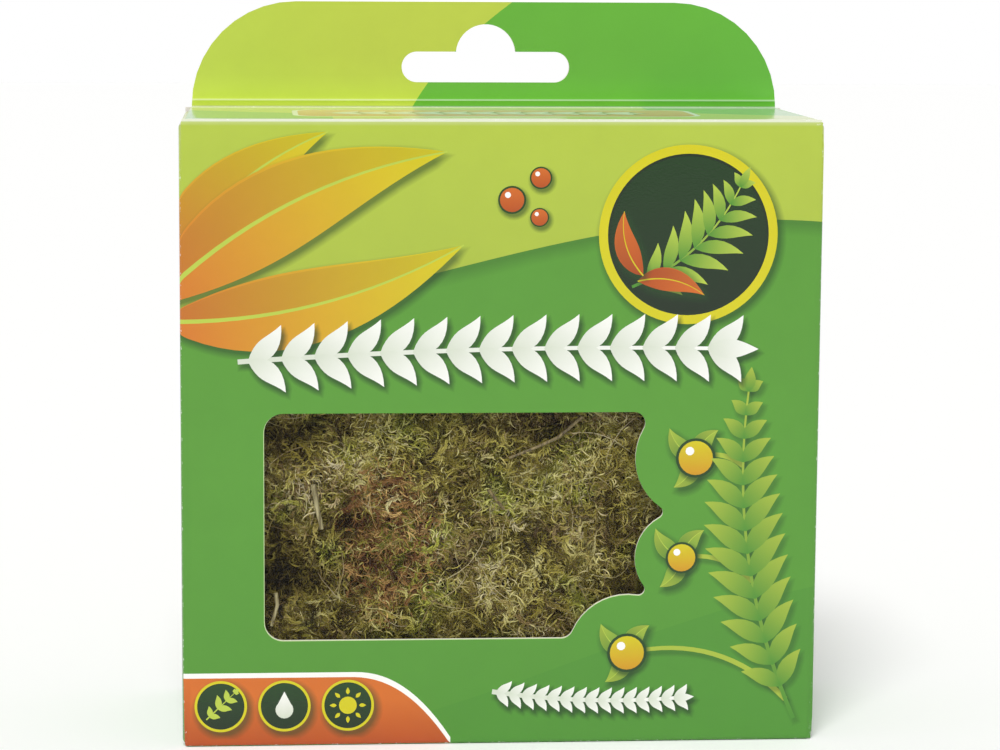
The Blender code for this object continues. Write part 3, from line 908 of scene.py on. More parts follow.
carton_sheet = cut_sheet(panels, holes, printed_shapes, lines, 4.0)
carton = fold_sheet("folded_carton", carton_sheet, place_carton, carton_wear)
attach(carton, "carton")
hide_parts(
    "front_panel", "left_side_panel", "right_side_panel", "back_panel", "glue_flap", "base_panel",
    "base_tuck_flap", "base_dust_flap_left", "base_dust_flap_right", "dust_flap_left", "dust_flap_right",
)

# %% [markdown]
# ## The front layer of the hang tab
#
# The tab is two boards thick, glued together, and both are cut by one stroke of the die. The back
# layer is the carton's own back panel. The front layer is a second sheet with its own print.

# %% The tab's front layer
RIDGE = HEIGHT + 1.3


def place_tab(points):
    count = len(points)
    ridge = 0.16 * np.clip(1 - np.abs(points[:, 1] - RIDGE) / 0.45, 0, 1)
    position = np.column_stack([points[:, 0], tab_low.y - ridge, points[:, 1]])
    return position, np.tile((0.0, -1.0, 0.0), (count, 1))


def tab_print():
    def boundary(v):
        return -14 + 0.55 * (v - HEIGHT) + 0.02 * (v - HEIGHT) ** 2

    v = np.linspace(HEIGHT - 2, TAB_TOP + 2, 20)
    edge = np.column_stack([boundary(v), v])
    grass_side = np.vstack([edge, [[TAB_HALF + 2, TAB_TOP + 2], [TAB_HALF + 2, HEIGHT - 2]]])
    everything = rectangle(-TAB_HALF - 1, TAB_HALF + 1, HEIGHT - 1, TAB_TOP + 1)
    return [
        shape(everything, fade(LIME_LIGHT * 1.15, LIME_LIGHT * 0.92, (0, HEIGHT), (0, HEIGHT + 7))),
        shadow(grass_side, spread=2.0, drop=(-0.6, 0), depth=0.25),
        shape(grass_side, fade(GRASS_LIGHT * 1.2, GRASS_LIGHT, (0, HEIGHT), (0, HEIGHT + 7))),
        # The pale band at the tab's foot is partly whitened crease and partly painted highlight; the one on the upper
        # half of the ridge is a painted highlight where the ridge catches the light from above.
        shape(rectangle(-TAB_HALF - 1, TAB_HALF + 1, HEIGHT - 1, HEIGHT + 0.3), flat(PAPER), 0.35),
        shape(rectangle(-TAB_HALF - 1, TAB_HALF + 1, RIDGE, RIDGE + 0.3), flat(PAPER), 0.32),
    ]


tab_round = TAB_TOP - HEIGHT - 0.3
tab_panels = [rectangle(-TAB_HALF, TAB_HALF, HEIGHT + 0.1, TAB_TOP, (0, 0, tab_round, tab_round))]
tab_lines = [((-TAB_HALF + 0.1, RIDGE + step), (TAB_HALF - 0.1, RIDGE + step)) for step in (-0.45, 0.0, 0.45)]
tab_sheet = cut_sheet(tab_panels, [slot_outline(0)], tab_print(), tab_lines, 4.0)
tab = fold_sheet(
    "hang_tab_front", tab_sheet, place_tab, lambda points: near_lines(points, (-999,), (HEIGHT,)), BOARD - 0.03
)
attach(tab, "carton")
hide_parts("hang_tab")

# %% [markdown]
# ## The lid and its tuck flap
#
# The lid hinges on the crease at the foot of the tab and tucks behind the front panel. It is one
# sheet: the lid panel, a tight crease along its front, and a flap that leans inwards so that it
# slides in easily. Along the sheet, v is depth on the lid and runs on down the flap.

# %% Fold the lid
LID_FRONT = lid_low.y
LID_BACK = lid_high.y + 0.45
LEAN = math.radians(10.5)
FLAP_TURN = math.pi / 2 + LEAN


def place_lid(points):
    """The lid lies flat behind its front crease and turns down by a little more than a right angle."""
    u, v = points[:, 0], points[:, 1]
    behind = v - (LID_FRONT + CREASE)
    turn = np.clip(-behind / (2 * CREASE), 0, 1) * FLAP_TURN
    facing = np.column_stack([np.zeros(len(u)), -np.sin(turn), np.cos(turn)])
    centre_y, centre_z = LID_FRONT + CREASE, HEIGHT - CREASE
    position = np.column_stack([u, centre_y + CREASE * facing[:, 1], centre_z + CREASE * facing[:, 2]])
    position[:, 1] += np.maximum(behind, 0)
    below = np.maximum(-behind - 2 * CREASE, 0)
    position[:, 1] += below * math.sin(LEAN)
    position[:, 2] -= below * math.cos(LEAN)
    near_tab = np.clip((v - LID_BACK + 0.6) / 0.6, 0, 1)
    position[:, 2] += 0.12 * near_tab ** 2
    return position, facing


def lid_print():
    """Lime board with an orange band, a white rule and a row of small leaves, under a white wash of painted light, with
    pale crease bands that are partly whitened board and partly painted highlight.
    """
    everything = rectangle(-HALF_W - 1, HALF_W + 1, LID_FRONT - 20, LID_BACK + 1)
    shapes = [shape(everything, fade(LIME_PALE, LIME_LIGHT, (0, LID_FRONT), (0, LID_BACK)))]
    shapes.append(shape(hill(-HALF_W, -30, LID_FRONT - 20, lambda u: 10 - 14 * (u + HALF_W) / 27), flat(GRASS_LIGHT)))
    shapes.append(shape(hill(30, HALF_W, LID_BACK + 1, lambda u: -10 + 14 * (HALF_W - u) / 27), flat(GRASS_LIGHT)))
    shapes.append(shape(rectangle(-37, 37, -12.5, 12.5, (5,) * 4), flat(PAPER)))
    shapes.append(shape(rectangle(-36, 36, -11.5, 11.5, (4.2,) * 4), fade(ORANGE, ORANGE_PALE, (0, -12), (0, 6))))
    shapes += garland((-31, 0), (24, 0), 0.01, 11, 7.0, 3.0, PAPER, PAPER_DIM)
    # A thin white wash over the whole lid is painted light: the paleness that light from above gives its upward face.
    shapes.append(shape(everything, flat(PAPER), 0.16))
    # Pale bands along the front fold and the back crease: partly whitened board, partly painted highlight.
    for low, high, strength in ((LID_FRONT - 0.4, LID_FRONT + 0.7, 0.5), (LID_BACK - 0.35, LID_BACK + 1, 0.6)):
        shapes.append(shape(rectangle(-HALF_W, HALF_W, low, high), flat(PAPER), strength))
    return shapes


lid_half = lid_high.x
tuck_half = tuck_high.x
crease_start = LID_FRONT + CREASE
crease_end = LID_FRONT - CREASE
lid_panels = [
    rectangle(-lid_half, lid_half, LID_FRONT - 0.35 * CREASE, LID_BACK),
    rectangle(-tuck_half, tuck_half, crease_end - TUCK_LENGTH + 1.0, crease_start, (6, 6, 0, 0)),
]
lid_lines = [((-lid_half, v), (lid_half, v)) for v in np.linspace(crease_start, crease_end, 7)]
lid_lines += [((-lid_half, LID_BACK - k), (lid_half, LID_BACK - k)) for k in (0.2, 0.4, 0.6)]
lid_sheet = cut_sheet(lid_panels, [], lid_print(), lid_lines, 4.0)
lid = fold_sheet("lid_and_tuck_flap", lid_sheet, place_lid, lambda points: near_lines(points, (-999,), (LID_FRONT, LID_BACK)))
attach(lid, "lid")
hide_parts("lid_panel", "tuck_flap")

# %% [markdown]
# ## The window film
#
# A thin sheet of clear film is glued behind the window. It is never quite flat, so it gets a slow
# ripple of a few hundredths of a millimetre, which breaks up its reflections.

# %% Clear film
def make_film():
    """Clear polyester film, cast smooth: it lets light through and mirrors a small share of it.

    The mirror is the whole surface and alpha is its share, so nothing milky lies over the moss."""
    material, tree, surface = new_material("clear_polyester_film")
    surface.inputs["Base Color"].default_value = rgba(ink("#FFFFFF"))
    surface.inputs["Metallic"].default_value = 1.0
    surface.inputs["Roughness"].default_value = 0.06
    surface.inputs["Alpha"].default_value = 0.008
    return material


def grid_mesh(name, columns, rows, place):
    """A grid of quads whose points come from place(s, t) with s and t running from 0 to 1."""
    s, t = np.meshgrid(np.linspace(0, 1, columns + 1), np.linspace(0, 1, rows + 1))
    points = place(s.ravel(), t.ravel())
    corner = (np.arange(rows)[:, None] * (columns + 1) + np.arange(columns)).ravel()
    faces = np.column_stack([corner, corner + 1, corner + columns + 2, corner + columns + 1])
    mesh = bpy.data.meshes.new(name)
    mesh.from_pydata((points * MM).tolist(), [], faces.tolist())
    mesh.shade_smooth()
    return mesh


def place_film(s, t):
    x = film_low.x + (film_high.x - film_low.x) * s
    z = film_low.z + (film_high.z - film_low.z) * t
    ripple = 0.05 * np.sin(0.11 * x + 0.05 * z + 1.0) + 0.03 * np.sin(0.16 * z - 0.07 * x)
    return np.column_stack([x, film_low.y + 0.1 + ripple, z])


film_mesh = grid_mesh("window_film_sheet", 48, 32, place_film)
film_mesh.materials.append(make_film())
film = bpy.data.objects.new("window_film_sheet", film_mesh)
bpy.context.scene.collection.objects.link(film)
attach(film, "carton")
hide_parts("window_film")

# %% [markdown]
# ## The moss
#
# Pressed, dried moss is a felt of small shoots. Each shoot is a hooked stem with two ranks of curved
# leaves, olive to yellow green where it saw light and brown below. First comes the lumpy bed that the
# shoots grow on, then a handful of shoots, then a Geometry Nodes tree that lays out thousands.

# %% Moss material
# Spots on the moss's face as (x, z, half width, half height, amount). Negative amounts are hollows: the bed sinks there
# and the moss colour is darkened as painted shade. Positive amounts are tufts: the bed rises there and the colour is
# lightened, partly as painted highlight and partly as fresher green.
SHADED_HOLLOWS_AND_LIT_TUFTS = (
    (-27.0, 50.5, 8.0, 5.5, 0.7), (-35.0, 45.0, 5.0, 5.0, 0.5), (11.0, 47.0, 8.0, 6.0, 0.5), (-11.0, 37.0, 8.0, 5.0, 0.8),
    (-38.0, 25.5, 6.0, 3.5, 0.5), (1.0, 42.0, 9.0, 6.0, 0.8), (24.0, 49.0, 5.0, 5.0, 0.4), (-3.0, 27.0, 11.0, 6.0, 0.25),
    (-39.5, 32.0, 7.5, 12.0, -1.7), (-28.0, 39.5, 8.0, 4.0, -1.5), (-39.0, 56.0, 10.0, 6.0, -1.0), (-31.0, 22.0, 6.0, 4.0, -0.5),
    (4.0, 57.5, 14.0, 4.0, -0.5), (-8.0, 32.0, 6.0, 3.0, -0.6), (20.0, 36.0, 6.0, 6.0, -0.3),
)
RUST_PATCH = (-20.0, 36.5, 11.0, 17.0)


def spot(tree, where, x, z, across, high):
    """1 at a spot on the moss's face, falling to 0 at its edge."""
    moved = add(
        tree, "ShaderNodeMapping", {
            "Vector": where, "Location": (-x / across, 0.0, -z / high),
            "Scale": (1 / (across * MM), 0.0, 1 / (high * MM)),
        },
    )
    return add(tree, "ShaderNodeTexGradient", {"Vector": moved.outputs[0]}, gradient_type="SPHERICAL").outputs[1]


def arithmetic(tree, operation, first, second):
    return add(tree, "ShaderNodeMath", {0: first, 1: second}, operation=operation).outputs[0]


def colour_steps(tree, share, colours):
    """A ramp through evenly spaced colours."""
    ramp = add(tree, "ShaderNodeValToRGB", {"Fac": share})
    stops = ramp.color_ramp.elements
    for number, colour in enumerate(colours):
        place = number / (len(colours) - 1)
        stop = stops[0] if number == 0 else stops[-1] if number == len(colours) - 1 else stops.new(place)
        stop.position = place
        stop.color = rgba(ink(colour))
    return ramp.outputs["Color"]


LEAF_GREENS = ("#161105", "#392F0F", "#635720", "#908333", "#BEB157", "#E3D992")
FRESH_GREENS = ("#131306", "#30320F", "#575B1B", "#868A2B", "#B9BB4C", "#E1DF88")
WITHERED = ("#1A110E", "#3A291B", "#645033", "#917A4C", "#BDA672", "#E6D8AE")
RUSTS = ("#26160F", "#4E2F1D", "#7E5632", "#B0864D", "#DDB873")


def make_moss(name, dryness, brightness):
    """Dried moss: matt leaves a cell thick, browner towards their base, and darkened there as painted shade and
    lightened at their tips as painted highlight.

    Green, withered and rusty leaves grow mixed, so each shoot draws its own from its tone."""
    material, tree, surface = new_material(name)
    where = add(tree, "ShaderNodeTexCoord").outputs["Object"]
    tone = add(tree, "ShaderNodeAttribute", attribute_name="tone").outputs["Fac"]
    blade = add(tree, "ShaderNodeAttribute", attribute_name="blade").outputs["Fac"]
    tufts = add(tree, "ShaderNodeTexNoise", {"Vector": where, "Scale": 130.0, "Detail": 2.0, "Roughness": 0.6})
    share = arithmetic(tree, "MULTIPLY_ADD", tufts.outputs["Fac"], 1.1)
    tree.links.new(tone, share.node.inputs[2])
    raised = 0.0
    # Hollows darken the colour as painted shade and tufts lighten it as painted highlight.
    for x, z, across, high, amount in SHADED_HOLLOWS_AND_LIT_TUFTS:
        part = arithmetic(tree, "MULTIPLY", spot(tree, where, x, z, across, high), amount)
        raised = arithmetic(tree, "ADD", raised, part)
    share = arithmetic(tree, "ADD", share, arithmetic(tree, "MULTIPLY", raised, 0.42))
    share = add(tree, "ShaderNodeMapRange", {"Value": share, "From Min": 0.36, "From Max": 1.60}).outputs[0]
    drift = add(tree, "ShaderNodeTexNoise", {"Vector": where, "Scale": 55.0, "Detail": 1.0}).outputs["Fac"]
    lot = arithmetic(tree, "FRACT", arithmetic(tree, "MULTIPLY", tone, 37.7), 0.0)
    other_lot = arithmetic(tree, "FRACT", arithmetic(tree, "MULTIPLY", tone, 91.3), 0.0)
    dry = arithmetic(tree, "ADD", arithmetic(tree, "MULTIPLY", lot, 0.9), arithmetic(tree, "MULTIPLY", drift, 1.3))
    dry = add(tree, "ShaderNodeMapRange", {"Value": dry, "From Min": 1.35 - dryness, "From Max": 1.75 - dryness})
    olive = colour_steps(tree, share, LEAF_GREENS)
    fresh = colour_steps(tree, share, FRESH_GREENS)
    where_fresh = add(tree, "ShaderNodeTexNoise", {"Vector": where, "Scale": 95.0, "Detail": 1.0}).outputs["Fac"]
    where_fresh = arithmetic(tree, "ADD", where_fresh, arithmetic(tree, "MULTIPLY", raised, 0.22))
    freshness = add(tree, "ShaderNodeMapRange", {"Value": where_fresh, "From Min": 0.50, "From Max": 0.68})
    green = add(tree, "ShaderNodeMix", {0: freshness.outputs[0], 6: olive, 7: fresh}, data_type="RGBA").outputs[2]
    brown = colour_steps(tree, share, WITHERED)
    rust = colour_steps(tree, share, RUSTS)
    mixed = add(tree, "ShaderNodeMix", {0: dry.outputs[0], 6: green, 7: brown}, data_type="RGBA").outputs[2]
    ragged = add(tree, "ShaderNodeTexNoise", {"Vector": where, "Scale": 260.0, "Detail": 2.0}).outputs["Fac"]
    patch = arithmetic(tree, "MULTIPLY", spot(tree, where, *RUST_PATCH), arithmetic(tree, "MULTIPLY", ragged, 3.4))
    patch = arithmetic(tree, "MINIMUM", patch, 0.62)
    rusty = arithmetic(tree, "GREATER_THAN", arithmetic(tree, "SUBTRACT", patch, other_lot), 0.05)
    mixed = add(tree, "ShaderNodeMix", {0: rusty, 6: mixed, 7: rust}, data_type="RGBA").outputs[2]
    # Painted shade and highlight along each leaf: darker towards its base, brighter than its colour at its tip.
    dark = add(tree, "ShaderNodeMapRange", {"Value": blade, "To Min": 0.33 * brightness, "To Max": 1.27 * brightness})
    shaded = add(
        tree, "ShaderNodeMix", {0: 1.0, 6: mixed, 7: dark.outputs[0]}, data_type="RGBA", blend_type="MULTIPLY",
    )
    tree.links.new(shaded.outputs[2], surface.inputs["Base Color"])
    surface.inputs["Roughness"].default_value = 0.6
    surface.inputs["Specular IOR Level"].default_value = 0.12
    return material


SHOOT_LOOK = make_moss("dried_moss_leaves", 0.12, 0.84)
FIBRE_LOOK = make_moss("dried_moss_fibres", 0.7, 0.80)
# The bed takes the same colours at about a third of the shoots' brightness: partly the brown of old moss underneath,
# partly painted shade for the deep gaps between shoots.
BED_HUMUS_AND_SHADE_LOOK = make_moss("moss_bed_humus", 0.6, 0.30)

# %% The bed of the moss
BED_DEPTH = 2.7


def lump(x, y, z):
    """The unevenness of the clump's surface, in millimetres."""
    broad = noise.noise(Vector((x, y, z)) / 10.0)
    fine = noise.noise(Vector((x, y, z)) / 3.7 + Vector((5, 2, 9)))
    raised = 0.0
    for spot_x, spot_z, across, high, amount in SHADED_HOLLOWS_AND_LIT_TUFTS:
        away = math.hypot((x - spot_x) / across, (z - spot_z) / high)
        raised += amount * max(0, 1 - away) if y < 0 else 0
    return 0.85 * broad + 0.5 * fine + 1.1 * raised


def make_bed():
    """A closed, rounded block inside the carton, with a lumpy surface and rounded edges."""
    low = np.array([moss_low.x + 0.9, moss_low.y + BED_DEPTH, moss_low.z + 0.6])
    high = np.array([moss_high.x - 0.9, moss_high.y - 1.0, moss_high.z - 1.8])
    cube = bpy.data.meshes.new("moss_bed")
    import bmesh
    shell = bmesh.new()
    counts = (56, 20, 52)
    points = {}
    for i in range(counts[0] + 1):
        for j in range(counts[1] + 1):
            for k in range(counts[2] + 1):
                if i in (0, counts[0]) or j in (0, counts[1]) or k in (0, counts[2]):
                    share = np.array([i, j, k]) / counts
                    points[i, j, k] = shell.verts.new(low + share * (high - low))
    for i in range(counts[0] + 1):
        for j in range(counts[1] + 1):
            for k in range(counts[2] + 1):
                here = (i, j, k)
                for a, b in ((0, 1), (1, 2), (2, 0)):
                    other = 3 - a - b
                    if here[other] not in (0, counts[other]):
                        continue
                    one, two = list(here), list(here)
                    one[a] += 1
                    two[b] += 1
                    both = list(one)
                    both[b] += 1
                    keys = [here, tuple(one), tuple(both), tuple(two)]
                    if all(key in points for key in keys):
                        order = keys if here[other] else keys[::-1]
                        shell.faces.new([points[key] for key in order])
    middle = (low + high) / 2
    for vert in shell.verts:
        p = np.array(vert.co)
        reach = np.abs(p - middle) / ((high - low) / 2)
        edge = np.sort(np.maximum(reach - np.array([0.93, 0.80, 0.93]), 0) / np.array([0.07, 0.2, 0.07]))
        inwards = 2.2 * edge[1] ** 2
        way = (middle - p) / np.linalg.norm(middle - p)
        out = np.where(reach > 0.999, np.sign(p - middle), 0)
        out = out / max(np.linalg.norm(out), 1)
        p = p + way * inwards + out * (lump(*p) - 0.35)
        vert.co = Vector(p * MM)
    shell.to_mesh(cube)
    shell.free()
    cube.shade_smooth()
    cube.materials.append(BED_HUMUS_AND_SHADE_LOOK)
    made = bpy.data.objects.new("moss_bed", cube)
    bpy.context.scene.collection.objects.link(made)
    return made


bed = make_bed()
print("bed:", len(bed.data.polygons), "faces")

# %% Shoots and fibres to plant
chance = np.random.default_rng(20)


def ribbon_frame(points):
    """Directions along a curve and to its left, in the plane it lies in."""
    ahead = np.gradient(points, axis=0)
    ahead /= np.linalg.norm(ahead, axis=1)[:, None]
    left = np.cross((0.0, 0.0, 1.0), ahead)
    left /= np.linalg.norm(left, axis=1)[:, None]
    return ahead, left


def hooked_stem(length, bend, rise, steps):
    """A stem that runs along x and hooks more and more to its left."""
    share = np.linspace(0, 1, steps + 1)
    turn = bend * share ** 1.6
    step = length / steps
    x = np.concatenate([[0], np.cumsum(np.cos(turn[:-1]) * step)])
    y = np.concatenate([[0], np.cumsum(np.sin(turn[:-1]) * step)])
    return np.column_stack([x, y, rise * share ** 2 * length])


def make_shoot(name, length, bend, leaf_length, leaf_width, pairs):
    """One leafy shoot: a thin stem with curved leaves on both sides and some on top."""
    stem = hooked_stem(length, bend, 0.10, pairs * 2)
    ahead, left = ribbon_frame(stem)
    up = np.cross(ahead, left)
    points, faces, blades = [], [], []

    def ribbon(rails, blade):
        start = len(points)
        for right_point, left_point in rails:
            points.extend([right_point, left_point])
        blades.extend(blade)
        for i in range(len(rails) - 1):
            a = start + 2 * i
            faces.append((a, a + 2, a + 3, a + 1))

    every = stem[::3]
    half = 0.10 * left[::3]
    ribbon([(p - h, p + h) for p, h in zip(every, half)], np.repeat(np.linspace(0.0, 0.6, len(every)), 2))
    for i in range(1, len(stem)):
        share = i / (len(stem) - 1)
        side = 1 if i % 2 else -1
        spread = math.radians(chance.uniform(28, 60) * (1 - 0.6 * share))
        size = leaf_length * chance.uniform(0.7, 1.25) * (0.6 + 0.5 * math.sin(math.pi * min(1, share + 0.15)))
        width = leaf_width * chance.uniform(0.8, 1.2)
        way = math.cos(spread) * ahead[i] + side * math.sin(spread) * left[i]
        lift = chance.uniform(0.05, 0.6) * up[i]
        hook = ahead[i] * chance.uniform(0.2, 0.55) + left[i] * chance.uniform(0.1, 0.35)
        base = stem[i]
        middle = base + (way + lift) * size * 0.5
        tip = middle + (way * 0.5 + hook + lift * chance.uniform(-0.4, 0.5)) * size * 0.55
        across = np.cross(way, up[i])
        across /= np.linalg.norm(across)
        fold = up[i] * width * 0.22
        rails = [
            (base - across * width * 0.22, base + across * width * 0.22),
            (middle - across * width * 0.5 + fold, middle + across * width * 0.5 + fold),
            (tip - across * width * 0.06, tip + across * width * 0.06),
        ]
        ribbon(rails, [0.15 * share, 0.15 * share, 0.6, 0.6, 1.0, 1.0])
    return plant_mesh(name, points, faces, blades, SHOOT_LOOK)


def plant_mesh(name, points, faces, blades, look):
    mesh = bpy.data.meshes.new(name)
    mesh.from_pydata((np.array(points) * MM).tolist(), [], faces)
    blade = mesh.attributes.new("blade", "FLOAT", "POINT")
    blade.data.foreach_set("value", np.array(blades, np.float32))
    mesh.materials.append(look)
    mesh.shade_smooth()
    return mesh


def make_fibre(name, length, thick, turns, bend, steps=8):
    """A fine, wiry fibre with three sides, which wanders by turns and bends by an angle in all."""
    share = np.linspace(0, 1, steps + 1)
    turn = np.cumsum(chance.uniform(-1, 1, steps + 1) * turns) + bend * share
    step = length / steps
    x = np.concatenate([[0], np.cumsum(np.cos(turn[:-1]) * step)])
    y = np.concatenate([[0], np.cumsum(np.sin(turn[:-1]) * step)])
    z = 0.45 * np.sin(math.pi * share)
    middle = np.column_stack([x, y, z])
    ahead, left = ribbon_frame(middle)
    up = np.cross(ahead, left)
    points, faces = [], []
    for i in range(steps + 1):
        radius = thick / 2 * (1 - 0.7 * share[i] ** 2)
        for corner in range(3):
            angle = 2 * math.pi * corner / 3
            points.append(middle[i] + radius * (math.cos(angle) * left[i] + math.sin(angle) * up[i]))
    for i in range(steps):
        for corner in range(3):
            a, b = 3 * i + corner, 3 * i + (corner + 1) % 3
            faces.append((a, b, b + 3, a + 3))
    faces += [(2, 1, 0), (3 * steps, 3 * steps + 1, 3 * steps + 2)]
    return plant_mesh(name, points, faces, np.repeat(0.3 + 0.6 * share, 3), FIBRE_LOOK)


def make_curl(name, length, width, bend, twist, steps=5):
    """One dried leaf torn loose: a narrow blade that curls up and twists, pointed at both ends."""
    share = np.linspace(0, 1, steps + 1)
    turn = bend * share ** 1.2
    x = np.concatenate([[0], np.cumsum(np.cos(turn[:-1]) * length / steps)])
    y = np.concatenate([[0], np.cumsum(np.sin(turn[:-1]) * length / steps)])
    middle = np.column_stack([x, y, 0.16 * length * np.sin(math.pi * share)])
    ahead, left = ribbon_frame(middle)
    up = np.cross(ahead, left)
    roll = (twist * (share - 0.4))[:, None]
    half = (width / 2 * np.sin(math.pi * (0.10 + 0.86 * share)))[:, None] * (np.cos(roll) * left + np.sin(roll) * up)
    points = np.stack([middle - half, middle + half], axis=1).reshape(-1, 3)
    faces = [(2 * i, 2 * i + 2, 2 * i + 3, 2 * i + 1) for i in range(steps)]
    return plant_mesh(name, points, faces, np.repeat(0.35 + 0.65 * share, 2), SHOOT_LOOK)


def plant_collection(name, meshes):
    plants = bpy.data.collections.new(name)
    for mesh in meshes:
        plants.objects.link(bpy.data.objects.new(mesh.name, mesh))
    return plants


shoots = plant_collection("moss_shoots", [
    make_shoot(f"shoot_{n}", length, math.radians(bend), leaf_length, leaf_width, pairs)
    for n, (length, bend, leaf_length, leaf_width, pairs) in enumerate((
        (5.2, 95, 1.3, 0.23, 12), (6.4, -120, 1.2, 0.24, 13), (4.2, 170, 1.1, 0.21, 10), (5.8, -60, 1.4, 0.22, 12),
        (7.0, 120, 1.2, 0.25, 14), (4.6, -175, 1.1, 0.22, 10), (6.6, 40, 0.9, 0.20, 13), (3.6, -80, 1.5, 0.22, 9),
    ))
])
fibres = plant_collection("moss_fibres", [
    make_fibre(f"fibre_{n}", length, thick, turns, bend)
    for n, (length, thick, turns, bend) in enumerate((
        (9, 0.16, 0.25, 1.0), (13, 0.18, 0.2, -1.4), (6, 0.13, 0.3, 2.4), (17, 0.21, 0.16, 0.9), (10, 0.14, 0.3, -2.2),
    ))
])
threads = plant_collection("moss_threads", [
    make_fibre(f"thread_{n}", length, thick, 0.25, bend)
    for n, (length, thick, bend) in enumerate((
        (4.2, 0.17, 3.4), (5.4, 0.2, -2.6), (3.2, 0.14, 4.2), (6.4, 0.19, 2.0), (4.6, 0.23, -4.0), (2.6, 0.16, -1.2),
    ))
])
curls = plant_collection("moss_curls", [
    make_curl(f"curl_{n}", length, width, bend, twist)
    for n, (length, width, bend, twist) in enumerate((
        (2.2, 0.22, 2.2, 1.2), (1.7, 0.26, -2.8, -1.6), (2.8, 0.18, 1.4, 2.2), (1.5, 0.19, 3.4, 0.8),
        (2.4, 0.23, -1.8, -2.4), (3.3, 0.17, -1.1, 1.5), (1.3, 0.24, 1.0, -1.0), (2.0, 0.17, -3.8, 1.8),
    ))
])

# %% [markdown]
# ## Planting with Geometry Nodes
#
# The tree scatters points on the bed where the attribute named cover allows, turns each shoot with its
# neighbours so that tufts form, tilts and rolls it a little, and stores a random tone for its colour.

